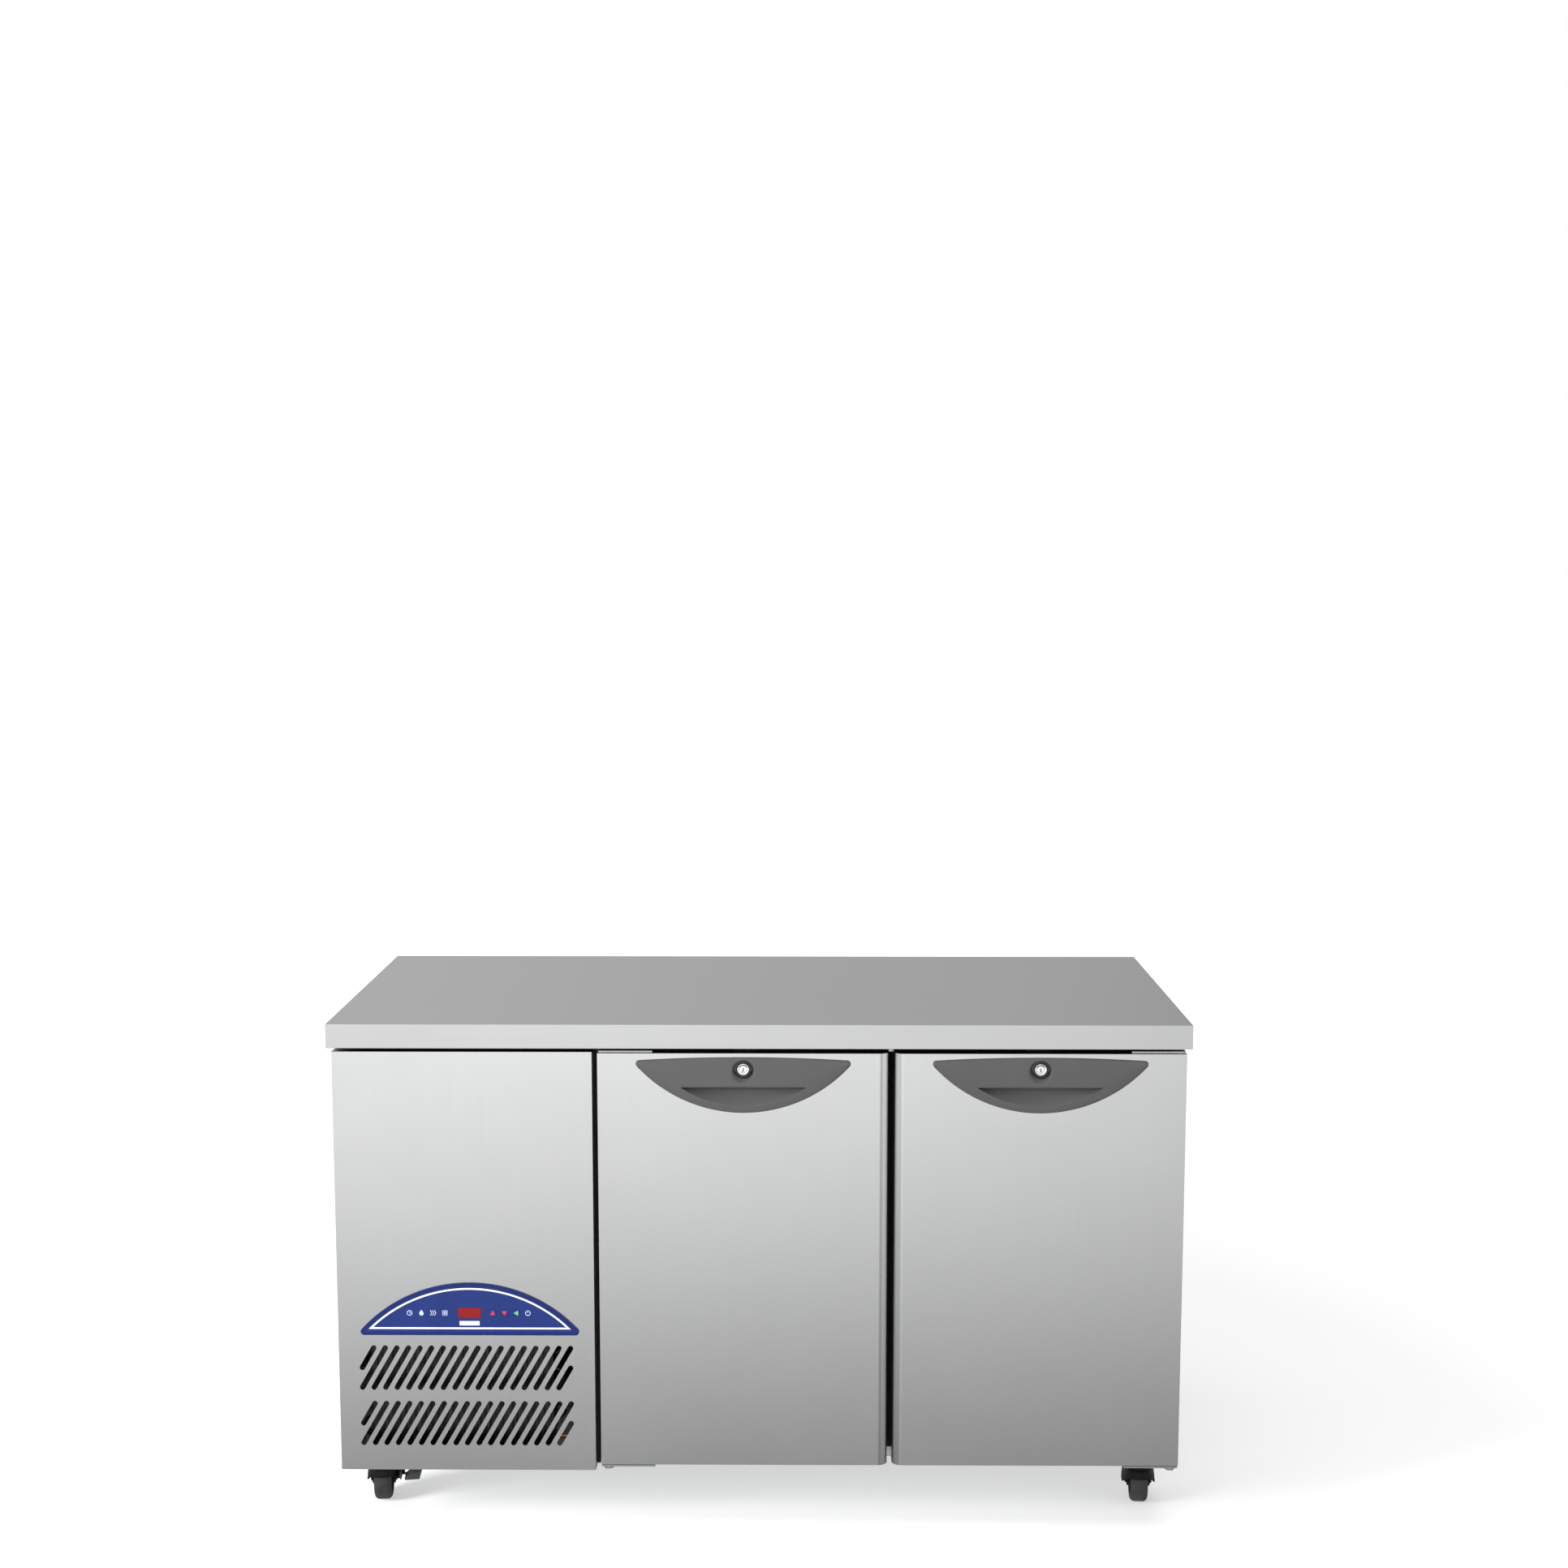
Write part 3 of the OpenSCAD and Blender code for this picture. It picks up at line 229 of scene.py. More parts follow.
class Shader:
    """A principled material with short calls for the nodes that its detail needs."""

    def __init__(self, name, colour, roughness, metallic=0.0, **sockets):
        self.material = bpy.data.materials.new(name)
        self.material.use_nodes = True
        self.tree = self.material.node_tree
        self.bsdf = self.tree.nodes["Principled BSDF"]
        sockets.update(Base_Color=(*colour, 1), Roughness=roughness, Metallic=metallic)
        set_sockets(self.bsdf, sockets)
        self.normal = None

    def node(self, kind, **inputs):
        """A new node with some of its sockets set."""
        made = self.tree.nodes.new(kind)
        set_sockets(made, inputs)
        return made

    def link(self, source, target):
        self.tree.links.new(source, target)

    def place(self, scale):
        """Object coordinates stretched by a scale along each axis."""
        coords = self.tree.nodes.new("ShaderNodeTexCoord")
        mapping = self.node("ShaderNodeMapping", Scale=scale)
        self.link(coords.outputs["Object"], mapping.inputs["Vector"])
        return mapping.outputs["Vector"]

    def noise(self, scale, detail=3.0, roughness=0.55, stretch=EVEN):
        """A noise of about one wave per 1 / scale metres."""
        made = self.node("ShaderNodeTexNoise", Scale=scale, Detail=detail, Roughness=roughness)
        self.link(self.place(stretch), made.inputs["Vector"])
        return made.outputs["Fac"]

    def spread(self, value, low, high, inner=MIDDLE):
        """Maps a noise value to a range of numbers."""
        made = self.node(
            "ShaderNodeMapRange", From_Min=inner[0], From_Max=inner[1], To_Min=low, To_Max=high
        )
        self.link(value, made.inputs["Value"])
        return made.outputs["Result"]

    def tint(self, value, dark, light, inner=MIDDLE):
        """Maps a noise value to a range of colours on the base colour."""
        ramp = self.tree.nodes.new("ShaderNodeValToRGB")
        ramp.color_ramp.elements[0].position = inner[0]
        ramp.color_ramp.elements[1].position = inner[1]
        ramp.color_ramp.elements[0].color = (*dark, 1)
        ramp.color_ramp.elements[1].color = (*light, 1)
        self.link(value, ramp.inputs["Fac"])
        self.link(ramp.outputs["Color"], self.bsdf.inputs["Base Color"])
        return self

    def rough(self, value):
        """Links the roughness to a value that varies."""
        self.link(value, self.bsdf.inputs["Roughness"])
        return self

    def bump(self, value, strength, distance):
        """Adds a layer of relief on top of those before it."""
        made = self.node("ShaderNodeBump", Strength=strength, Distance=distance)
        self.link(value, made.inputs["Height"])
        if self.normal:
            self.link(self.normal, made.inputs["Normal"])
        self.normal = made.outputs["Normal"]
        self.link(self.normal, self.bsdf.inputs["Normal"])
        return self


def scaled(colour, factor):
    """A colour made darker or lighter, never past white."""
    return tuple(min(1.0, c * factor) for c in colour)


def brushed_steel(name, colour, roughness, grain, fine=1600.0, run=9.0):
    """Stainless sheet with its grain along one axis (0, 1 or 2), faint rolling waves and smudges."""
    made = Shader(name, colour, roughness, metallic=1.0)
    stretch = [1.0, 1.0, 1.0]
    stretch[grain] = run / fine
    lines = made.noise(fine, detail=2.0, stretch=stretch)
    streaks = made.noise(90.0, detail=4.0, stretch=[0.02 if i == grain else 1.0 for i in range(3)])
    smudges = made.noise(5.0, detail=5.0)
    made.tint(streaks, scaled(colour, 0.992), scaled(colour, 1.006))
    wear = made.node("ShaderNodeMath")
    wear.operation = "ADD"
    made.link(made.spread(lines, -0.006, 0.006), wear.inputs[0])
    made.link(made.spread(smudges, roughness - 0.008, roughness + 0.01), wear.inputs[1])
    made.rough(wear.outputs["Value"])
    made.bump(lines, strength=0.03, distance=0.00003)
    return made.material


def spangled_zinc(name, colour, roughness):
    """Galvanised sheet with its crystal flowers."""
    made = Shader(name, colour, roughness, metallic=0.9)
    cells = made.node("ShaderNodeTexVoronoi", Scale=170.0)
    made.link(made.place(EVEN), cells.inputs["Vector"])
    made.tint(cells.outputs["Distance"], scaled(colour, 0.86), scaled(colour, 1.08), (0.0, 0.8))
    made.rough(made.spread(made.noise(60.0), roughness - 0.08, roughness + 0.1))
    made.bump(made.noise(400.0), strength=0.08, distance=0.0001)
    return made.material


def plated(name, colour, roughness):
    """Bright plated or turned metal with fine scratches."""
    made = Shader(name, colour, roughness, metallic=1.0)
    made.tint(made.noise(700.0, stretch=(1, 1, 0.1)), scaled(colour, 0.92), scaled(colour, 1.04))
    made.rough(made.spread(made.noise(350.0), roughness - 0.05, roughness + 0.09))
    made.bump(made.noise(1500.0, stretch=(1, 0.1, 1)), strength=0.06, distance=0.00004)
    return made.material


def moulded(name, colour, roughness, grain=2600.0, relief=0.18, coat=0.0, shine=0.5):
    """Moulded plastic with a fine spark-eroded grain."""
    made = Shader(
        name, colour, roughness, Coat_Weight=coat, Coat_Roughness=0.15, Specular_IOR_Level=shine
    )
    made.tint(made.noise(18.0, detail=4.0), scaled(colour, 0.97), scaled(colour, 1.03))
    made.rough(made.spread(made.noise(grain * 0.5), roughness - 0.05, roughness + 0.06))
    made.bump(made.noise(grain, detail=2.0), strength=relief, distance=0.00006)
    return made.material


def painted(name, colour, roughness):
    """Powder-coated metal with orange peel and dust."""
    made = Shader(name, colour, roughness)
    made.tint(made.noise(30.0, detail=6.0), scaled(colour, 0.8), scaled(colour, 1.25))
    made.rough(made.spread(made.noise(120.0), roughness - 0.08, roughness + 0.1))
    made.bump(made.noise(900.0, detail=2.0), strength=0.25, distance=0.0001)
    return made.material


def rubber(name, colour, roughness):
    """Dull rubber with a faint bloom."""
    made = Shader(name, colour, roughness)
    made.tint(made.noise(45.0, detail=6.0), scaled(colour, 0.75), scaled(colour, 1.5))
    made.rough(made.spread(made.noise(200.0), roughness - 0.07, roughness + 0.07))
    made.bump(made.noise(1400.0), strength=0.2, distance=0.00008)
    return made.material


def foam(name, colour):
    """Poured foam with fine closed cells."""
    made = Shader(name, colour, roughness=0.9)
    cells = made.node("ShaderNodeTexVoronoi", Scale=900.0)
    made.link(made.place(EVEN), cells.inputs["Vector"])
    made.tint(made.noise(35.0), scaled(colour, 0.8), scaled(colour, 1.1))
    made.bump(cells.outputs["Distance"], strength=0.5, distance=0.0004)
    return made.material


def board(name, colour):
    """Dark laminated board with a long grain."""
    made = Shader(name, colour, roughness=0.7)
    grain = made.noise(120.0, detail=6.0, stretch=(0.08, 1, 1))
    made.tint(grain, scaled(colour, 0.6), scaled(colour, 1.5))
    made.bump(made.noise(300.0, stretch=(0.1, 1, 1)), strength=0.2, distance=0.0002)
    return made.material


def glossy_print(name, colour, roughness, glow=0.0, coat=0.2):
    """Printed film or tinted window under a clear gloss."""
    made = Shader(
        name, colour, roughness, Coat_Weight=coat, Coat_Roughness=0.06, Specular_IOR_Level=0.3
    )
    made.tint(made.noise(25.0, detail=2.0), scaled(colour, 0.93), scaled(colour, 1.07))
    made.rough(made.spread(made.noise(500.0), roughness - 0.03, roughness + 0.05))
    made.bump(made.noise(1800.0), strength=0.05, distance=0.00004)
    if glow:
        set_sockets(made.bsdf, {"Emission Color": (*colour, 1), "Emission Strength": glow})
    return made.material


def finned(name, colour):
    """Aluminium fins, much finer than the coil's own grooves, with painted shade in the dark lines between the
    fins.
    """
    made = Shader(name, colour, roughness=0.35, metallic=0.95)
    lines = made.noise(1.0, detail=0.0, stretch=(700, 1, 1))
    # The dark end of this tint is painted shade in the gaps between the fins.
    made.tint(lines, scaled(colour, 0.35), scaled(colour, 1.05), (0.35, 0.6))
    made.bump(lines, strength=0.5, distance=0.0006)
    return made.material


STEEL = (0.70, 0.705, 0.71)
PALE_STEEL = (0.72, 0.725, 0.73)
MATERIALS = {
    "stainless": brushed_steel("stainless_vertical_grain", STEEL, 0.25, 2),
    "worktop_steel": brushed_steel("worktop_steel_long_grain", PALE_STEEL, 0.32, 0),
    "inner_steel": brushed_steel("chamber_steel", PALE_STEEL, 0.33, 2),
    "galvanised": spangled_zinc("galvanised_sheet", (0.60, 0.62, 0.63), 0.42),
    "core_board": board("dark_core_board", (0.025, 0.022, 0.02)),
    "foam": foam("poured_foam", (0.80, 0.70, 0.42)),
    "handle_grey": moulded("handle_plastic", (0.082, 0.083, 0.085), 0.36, coat=0.08),
    "panel_blue": moulded(
        "bezel_plastic", (0.007, 0.018, 0.13), 0.32, relief=0.03, coat=0.05, shine=0.25
    ),
    "membrane_blue": glossy_print("membrane_film", (0.006, 0.024, 0.165), 0.34),
    "display_red": glossy_print("display_window_red", (0.23, 0.002, 0.005), 0.24, 0.04),
    "key_tint": glossy_print("key_film", (0.009, 0.031, 0.19), 0.32),
    "gasket_grey": rubber("gasket_rubber", (0.09, 0.09, 0.095), 0.6),
    "inner_door": moulded("inner_door_moulding", (0.58, 0.59, 0.60), 0.38, 1500.0),
    "chrome": plated("lock_chrome", (0.86, 0.86, 0.86), 0.14),
    "bright_screws": plated("screw_steel", (0.70, 0.70, 0.71), 0.28),
    "zinc": plated("zinc_plate", (0.55, 0.56, 0.57), 0.34),
    "pedal_grey": moulded("pedal_plastic", (0.055, 0.055, 0.057), 0.45, 1800.0, shine=0.3),
    "castor_black": moulded("castor_plastic", (0.007, 0.007, 0.008), 0.5, 1800.0, shine=0.2),
    "tyre_grey": rubber("tyre_rubber", (0.034, 0.034, 0.036), 0.55),
    # Dark grey fins: a dark coating, plus painted shade of the coil lying behind the slotted air panel.
    "coil_aluminium": finned("coil_fins_dark_and_shaded", (0.10, 0.10, 0.105)),
    "shroud_black": painted("shroud_paint", (0.03, 0.03, 0.032), 0.45),
    "motor_black": painted("motor_paint", (0.04, 0.04, 0.042), 0.5),
    "fan_black": moulded("fan_plastic", (0.02, 0.02, 0.022), 0.4),
    "compressor_black": painted("compressor_paint", (0.014, 0.014, 0.015), 0.35),
    "copper": plated("copper_tube", (0.72, 0.33, 0.18), 0.3),
    "box_grey": moulded("box_plastic", (0.30, 0.31, 0.32), 0.5),
    "gland_black": moulded("gland_plastic", (0.015, 0.015, 0.015), 0.45),
    "wire_coated": plated("shelf_wire", (0.76, 0.77, 0.78), 0.22),
}
WHITE_INK = glossy_print("white_ink", (0.86, 0.87, 0.93), 0.35)
PALE_INK = glossy_print("pale_ink", (0.52, 0.58, 0.80), 0.35)
RED_INK = glossy_print("red_ink", (0.72, 0.03, 0.05), 0.35)
GREEN_INK = glossy_print("green_ink", (0.18, 0.62, 0.16), 0.35)
BLACK_RING = moulded("escutcheon_plastic", (0.008, 0.008, 0.009), 0.22, coat=0.4)
KEYWAY = painted("keyway_shadow", (0.01, 0.01, 0.01), 0.6)
# Flat black that paints the shade deep in the gaps beside the left door and between the doors.
GAP_SHADE = rubber("painted_gap_shade", (0.008, 0.008, 0.009), 0.8)


def dress_cad_nodes():
    """Gives every CAD node the material of its slot."""
    for entry in frame["record"]["subparts"]:
        node = NODES[entry["node"]]
        node.data.materials.clear()
        node.data.materials.append(MATERIALS[entry["material_slot"]])


# -------- sheet metal

# CAD nodes by the width, in millimetres, of the rounding along their sharp edges.
SHEET_BEVELS = {
    0.3: ("key_up", "key_down", "key_defrost", "key_standby"),
    0.35: ("rear_grille", "cabinet_liner", "display_window"),
    0.4: ("left_side_panel", "right_side_panel", "back_panel", "air_panel", "fasteners"),
    0.45: ("unit_panel", "door_left_skin", "door_right_skin"),
    0.5: ("front_frame", "fan_shroud", "cable_gland"),
    0.7: ("base_tray",),
    0.8: ("door_brackets", "castor_plates"),
    0.9: ("door_left_inner_panel", "door_right_inner_panel", "control_bezel"),
    1.0: ("centre_post", "condenser_fan_motor", "evaporator_fan_motor"),
    1.1: ("worktop",),
    1.2: ("door_left_gasket", "door_right_gasket", "electrical_box"),
    2.0: ("evaporator_housing",),
}


def soften_cad_nodes():
    """Rounds the folds and edges of the CAD nodes that stay visible."""
    for width, names in SHEET_BEVELS.items():
        for name in names:
            soften(NODES[name], width * MM)


def blacken_keepers_as_shade():
    """The lock keepers, the top two solids over the doors' middles, turn black: painted shade of the dark gap
    under the worktop.
    """
    node = NODES["door_brackets"]
    # Black plastic on the keepers is painted shade, standing in for the gap's darkness.
    node.data.materials.append(MATERIALS["castor_black"])
    above_door = 1.2 * MM
    keeper_low = span("door_left_skin")[1].z + above_door
    keeper_half = 17 * MM
    middles = [joint(f"lock_{side}_turn")["pos_m"][0] for side in SIDES]
    place = node.matrix_world
    for polygon in node.data.polygons:
        centre = place @ polygon.center
        if centre.z > keeper_low and any(abs(centre.x - x) < keeper_half for x in middles):
            polygon.material_index = 1


def make_bay_gap_shade():
    """Black sheet at the back of the gap between the unit panel and the left door: painted shade of the deep gap.
    """
    thick = 0.3 * MM
    sunk = 0.05 * MM
    behind_door = 2.5 * MM
    lo, hi, _ = span("front_frame")
    left = span("unit_panel")[1].x
    right = span("door_left_skin")[0].x - behind_door
    bm = bmesh.new()
    add_block(bm, (left, lo.y - thick, lo.z), (right, lo.y - sunk, hi.z))
    finish_piece("bay_gap_shade", bm, "cabinet", GAP_SHADE, smooth=False)


def make_post_gap_shade():
    """Black strip on the centre post, between the gaskets of the two doors: painted shade of the deep gap."""
    proud = 0.1 * MM
    sunk = 0.15 * MM
    aside = 1.5 * MM
    left, right = span("door_left_gasket"), span("door_right_gasket")
    face_y = left[1].y
    lo = (left[1].x + aside, face_y - proud, left[0].z)
    hi = (right[0].x - aside, face_y + sunk, left[1].z)
    bm = bmesh.new()
    add_block(bm, lo, hi)
    finish_piece("post_gap_shade", bm, "cabinet", GAP_SHADE, smooth=False)


# -------- handles and locks

# The outline: an arc below, a long bow above and a small circle at each tip.
ARC_R = 234 * MM
BOW_R = 2892 * MM
TIP_R = 6 * MM
# The face: its rounded rim, its crown and the dish round the lock.
RIM_R = 3.2 * MM
RIM_RISE = 2.5 * MM
CROWN_RISE = 1.4 * MM
CROWN_RUN = 14 * MM
DISH_R = 19.6 * MM
DISH_WALL = 5.5 * MM
DISH_DEPTH = 3.4 * MM
DISH_DROP = 3.6 * MM
# The finger recess, its lip and the pocket above and behind the lip.
GRIP_DROP = 50 * MM
GRIP_HALF = 103 * MM
GRIP_H = 31 * MM
GRIP_DEPTH = 16 * MM
GRIP_FADE = 0.45
GRIP_BOW = 1.35
LIP_T = 4 * MM
LIP_ROUND = 1.2 * MM
LIP_EASE = 0.35 * MM
POCKET_H = 11 * MM
POCKET_ROUND = 2 * MM
POCKET_EDGE = 1.5 * MM
POCKET_BACK_SHARE = 0.7
POCKET_LIP_SHARE = 0.8
# The narrower body that fits the door behind the face.
BODY_INSET = 4.8 * MM
BODY_SHORT = 0.2 * MM
# How the mesh is divided: columns gather near the tips.
HANDLE_COLUMNS = 220
EVEN_SHARE = 0.55
TIP_SHARE = 0.45
SCOOP_STEPS = 12
FACE_STEPS = 44


class HandleShape:
    """The crescent handle as heights over its own outline, x measured from its middle."""

    def __init__(self, side):
        lo, hi, mid = span(f"door_{side}_handle")
        self.mid_x = mid.x
        self.top = hi.z
        self.back_y = hi.y
        self.door_y = span(f"door_{side}_skin")[0].y
        self.lock_z = joint(f"lock_{side}_turn")["pos_m"][2]
        self.grip_z = self.top - GRIP_DROP
        self.arc_z = lo.z + ARC_R
        self.bow_z = self.top - BOW_R
        depth = (BOW_R - TIP_R) ** 2 - (ARC_R - TIP_R) ** 2 + self.arc_z ** 2 - self.bow_z ** 2
        self.tip_z = depth / (2 * (self.arc_z - self.bow_z))
        self.tip_x = math.sqrt((ARC_R - TIP_R) ** 2 - (self.tip_z - self.arc_z) ** 2)
        self.end_x = self.tip_x + TIP_R

    def edge(self, x, inset, radius, middle_z, sign):
        """Height of the outline's upper (1) or lower (-1) edge, round at the tips."""
        x = abs(x)
        tip_turn = self.tip_x + TIP_R * self.tip_x / (radius - TIP_R)
        if not inset and x > tip_turn:
            return self.tip_z + sign * math.sqrt(max(0.0, TIP_R ** 2 - (x - self.tip_x) ** 2))
        return middle_z + sign * math.sqrt(max(0.0, (radius - inset) ** 2 - x * x))

    def low(self, x, inset=0.0):
        """Height of the outline's lower edge."""
        return self.edge(x, inset, ARC_R, self.arc_z, -1)

    def up(self, x, inset=0.0):
        """Height of the outline's upper edge."""
        return self.edge(x, inset, BOW_R, self.bow_z, 1)

    def edge_distance(self, x, z):
        """Distance inwards from the outline, rounded at the two tips."""
        x = abs(x)
        from_arc = ARC_R - math.hypot(x, z - self.arc_z)
        from_bow = BOW_R - math.hypot(x, z - self.bow_z)
        beyond = x - self.tip_x
        if beyond > 0 or (from_arc < TIP_R and from_bow < TIP_R):
            return max(0.0, TIP_R - math.hypot(x - self.tip_x, z - self.tip_z))
        return max(0.0, min(from_arc, from_bow))

    def front(self, x, z):
        """The crowned face, with a dish round the lock."""
        inwards = self.edge_distance(x, z)
        rim = math.sqrt(max(0.0, 1 - (1 - min(inwards, RIM_R) / RIM_R) ** 2))
        crown = RIM_RISE + CROWN_RISE * (1 - math.exp(-inwards / CROWN_RUN))
        reach = math.hypot(x, z - self.lock_z + DISH_DROP)
        wall = min(1.0, max(0.0, (DISH_R - reach) / DISH_WALL))
        dish = DISH_DEPTH * wall * wall * (3 - 2 * wall)
        return self.door_y - max(0.0, rim * crown - rim * dish)

    def recess(self, x):
        """Heights of the grip's edge and the scoop's foot, and the share of the full depth."""
        share = max(0.0, 1 - (x / GRIP_HALF) ** 2)
        if share > 0:
            scoop_r = (GRIP_HALF ** 2 + GRIP_H ** 2) / (2 * GRIP_H)
            foot = self.grip_z - GRIP_H + scoop_r - math.sqrt(scoop_r ** 2 - x * x)
            return self.grip_z, foot, share ** GRIP_FADE
        z_low = self.low(x)
        edge_low = self.low(GRIP_HALF)
        part = (self.grip_z - edge_low) / (self.up(GRIP_HALF) - edge_low)
        grip = z_low + part * (self.up(x) - z_low)
        return grip, grip, 0.0

    def lip(self, face, grip, scale):
        """Points (y, z) up the pocket behind the lip and back round the lip."""
        deep = face + GRIP_DEPTH * scale
        behind = face + LIP_T * scale
        roof = grip + POCKET_H * scale
        return [
            (deep, grip + POCKET_H * POCKET_BACK_SHARE * scale),
            (deep - POCKET_ROUND * scale, roof),
            (behind + POCKET_EDGE * scale, roof),
            (behind, grip + POCKET_H * POCKET_LIP_SHARE * scale),
            (behind, grip + LIP_ROUND * scale),
            (behind - LIP_ROUND * scale, grip),
            (face + LIP_ROUND * scale, grip),
            (face + LIP_EASE * scale, grip + LIP_EASE * scale),
        ]

    def column(self, x):
        """Points (y, z) of one section, from the lower edge to the upper edge."""
        grip, foot, scale = self.recess(x)
        z_low = self.low(x)
        z_up = self.up(x)
        points = []
        for k in range(SCOOP_STEPS):
            t = 1 - math.cos(math.pi / 2 * k / SCOOP_STEPS)
            z = z_low + (foot - z_low) * t
            points.append((self.front(x, z), z))
        for k in range(SCOOP_STEPS + 1):
            t = k / SCOOP_STEPS
            z = foot + (grip - foot) * t
            dip = GRIP_DEPTH * scale * (1 - (1 - t) ** GRIP_BOW)
            points.append((self.front(x, z) + dip, z))
        points += self.lip(self.front(x, grip), grip, scale)
        start = grip + LIP_ROUND * scale
        for k in range(FACE_STEPS + 1):
            t = math.sin(math.pi / 2 * k / FACE_STEPS)
            z = start + (z_up - start) * t
            points.append((self.front(x, z), z))
        return points

    def body_end(self):
        """Half the length of the body, where its own arc and bow meet."""
        arc_r = ARC_R - BODY_INSET
        bow_r = BOW_R - BODY_INSET
        corner = bow_r ** 2 - arc_r ** 2 + self.arc_z ** 2 - self.bow_z ** 2
        corner_z = corner / (2 * (self.arc_z - self.bow_z))
        return math.sqrt(arc_r ** 2 - (corner_z - self.arc_z) ** 2)

    def body_ring(self, bm, xs, y):
        """A ring of vertices round the body at one depth."""
        below = [bm.verts.new((self.mid_x + x, y, self.low(x, BODY_INSET))) for x in xs]
        above = [bm.verts.new((self.mid_x + x, y, self.up(x, BODY_INSET))) for x in xs[-2:0:-1]]
        return below + above


def make_handle(side):
    """One crescent handle: crowned face, finger recess with a real lip, dished lock seat."""
    shape = HandleShape(side)
    bm = bmesh.new()
    turns = [2 * k / HANDLE_COLUMNS - 1 for k in range(HANDLE_COLUMNS + 1)]
    xs = [shape.end_x * (EVEN_SHARE * t + TIP_SHARE * math.sin(math.pi / 2 * t)) for t in turns]
    rows = [[bm.verts.new((shape.mid_x + x, y, z)) for y, z in shape.column(x)] for x in xs]
    grid_faces(bm, rows)
    outline = [row[0] for row in rows] + [row[-1] for row in rows[-2:0:-1]]
    body_end = shape.body_end()
    body_xs = [x * body_end / shape.end_x for x in xs]
    near = shape.body_ring(bm, body_xs, shape.door_y)
    far = shape.body_ring(bm, body_xs, shape.back_y - BODY_SHORT)
    grid_faces(bm, [outline, near, far], closed_u=True)
    bm.faces.new(far)
    bmesh.ops.remove_doubles(bm, verts=bm.verts, dist=WELD_DISTANCE)
    bmesh.ops.dissolve_degenerate(bm, edges=bm.edges, dist=TINY)
    piece = finish_piece(
        f"handle_{side}", bm, f"door_{side}", MATERIALS["handle_grey"], [f"door_{side}_handle"]
    )
    sharpen(piece, 40)


BARREL_R = 10 * MM
BARREL_CHAMFER = 1 * MM
PLUG_R = 6.2 * MM
LOCK_SUNK = 0.15 * MM
CAM_T = 3 * MM
CAM_HALF = 7 * MM
CAM_END_HALF = 4 * MM
CAM_TAPER = 0.75
KEYWAY_HALF_H = 3.4 * MM
KEYWAY_HALF_W = 0.75 * MM
KEYWAY_PROUD = 0.02 * MM
KEYWAY_SUNK = 0.12 * MM
RING_IN = 10.3 * MM
RING_OUT = 15.8 * MM
RING_BACK = 4 * MM
LOCK_STEPS = 72


def lock_face(side):
    """The middle of a lock's face, as x, y and z."""
    x, _, z = joint(f"lock_{side}_turn")["pos_m"]
    return x, span(f"lock_{side}")[0].y + LOCK_SUNK, z


def face_profile():
    """Section (radius, along) of the lock's face: rounded rim, groove and slightly domed plug."""
    rim_top = BARREL_R - 1.1 * MM
    groove_z = 0.6 * MM
    return [
        (BARREL_R, -1.1 * MM), (BARREL_R - 0.35 * MM, -0.35 * MM), (rim_top, 0.0),
        (BARREL_R - 1.9 * MM, -0.12 * MM), (PLUG_R + 0.25 * MM, -0.3 * MM),
        (PLUG_R + 0.1 * MM, -groove_z), (PLUG_R, -groove_z), (PLUG_R - 0.15 * MM, -0.25 * MM),
        (PLUG_R * 0.5, -0.12 * MM), (0.0, -0.1 * MM),
    ]


def make_lock_barrel(side):
    """Lock barrel with its dished face, and the cam on its inner end."""
    x, y, z = lock_face(side)
    lo, hi, _ = span(f"lock_{side}")
    depth = hi.y - y - CAM_T
    inner_end = [
        (0.0, -depth), (BARREL_R - BARREL_CHAMFER, -depth), (BARREL_R, -depth + BARREL_CHAMFER),
    ]
    bm = lathe(inner_end + face_profile(), Vector((x, y, z)), FORWARDS, LOCK_STEPS)
    reach = (hi.x - x) if side == "left" else (lo.x - x)
    cam = [
        (x, z - CAM_HALF), (x + CAM_TAPER * reach, z - CAM_HALF), (x + reach, z - CAM_END_HALF),
        (x + reach, z + CAM_END_HALF), (x + CAM_TAPER * reach, z + CAM_HALF), (x, z + CAM_HALF),
    ]
    add_plate(bm, cam, hi.y - CAM_T, hi.y)
    barrel = finish_piece(
        f"lock_barrel_{side}", bm, f"lock_{side}", MATERIALS["chrome"], [f"lock_{side}"]
    )
    sharpen(barrel, 50)


def make_keyway(side):
    """The keyway: a narrow upright slit with round ends."""
    x, y, z = lock_face(side)
    rise = KEYWAY_HALF_H - KEYWAY_HALF_W
    top = circle_loop(x, z + rise, KEYWAY_HALF_W, steps=12, start=0, sweep=180)
    foot = circle_loop(x, z - rise, KEYWAY_HALF_W, steps=12, start=180, sweep=180)
    bm = bmesh.new()
    add_plate(bm, top + foot, y - KEYWAY_PROUD, y + KEYWAY_SUNK)
    sharpen(finish_piece(f"lock_keyway_{side}", bm, f"lock_{side}", KEYWAY))


def make_lock_ring(side):
    """Black escutcheon ring round the lock, fixed to the door."""
    top = 0.25 * MM
    ring = lathe([
        (RING_IN, -RING_BACK), (RING_IN, -top - 0.5 * MM), (RING_IN + 0.5 * MM, -top),
        (RING_IN + 2.2 * MM, -top), (RING_OUT - 1.4 * MM, -0.8 * MM),
        (RING_OUT - 0.3 * MM, -1.7 * MM), (RING_OUT, -2.6 * MM), (RING_OUT, -RING_BACK),
    ], Vector(lock_face(side)), FORWARDS, LOCK_STEPS)
    sharpen(finish_piece(f"lock_ring_{side}", ring, f"door_{side}", BLACK_RING), 60)


# -------- control panel

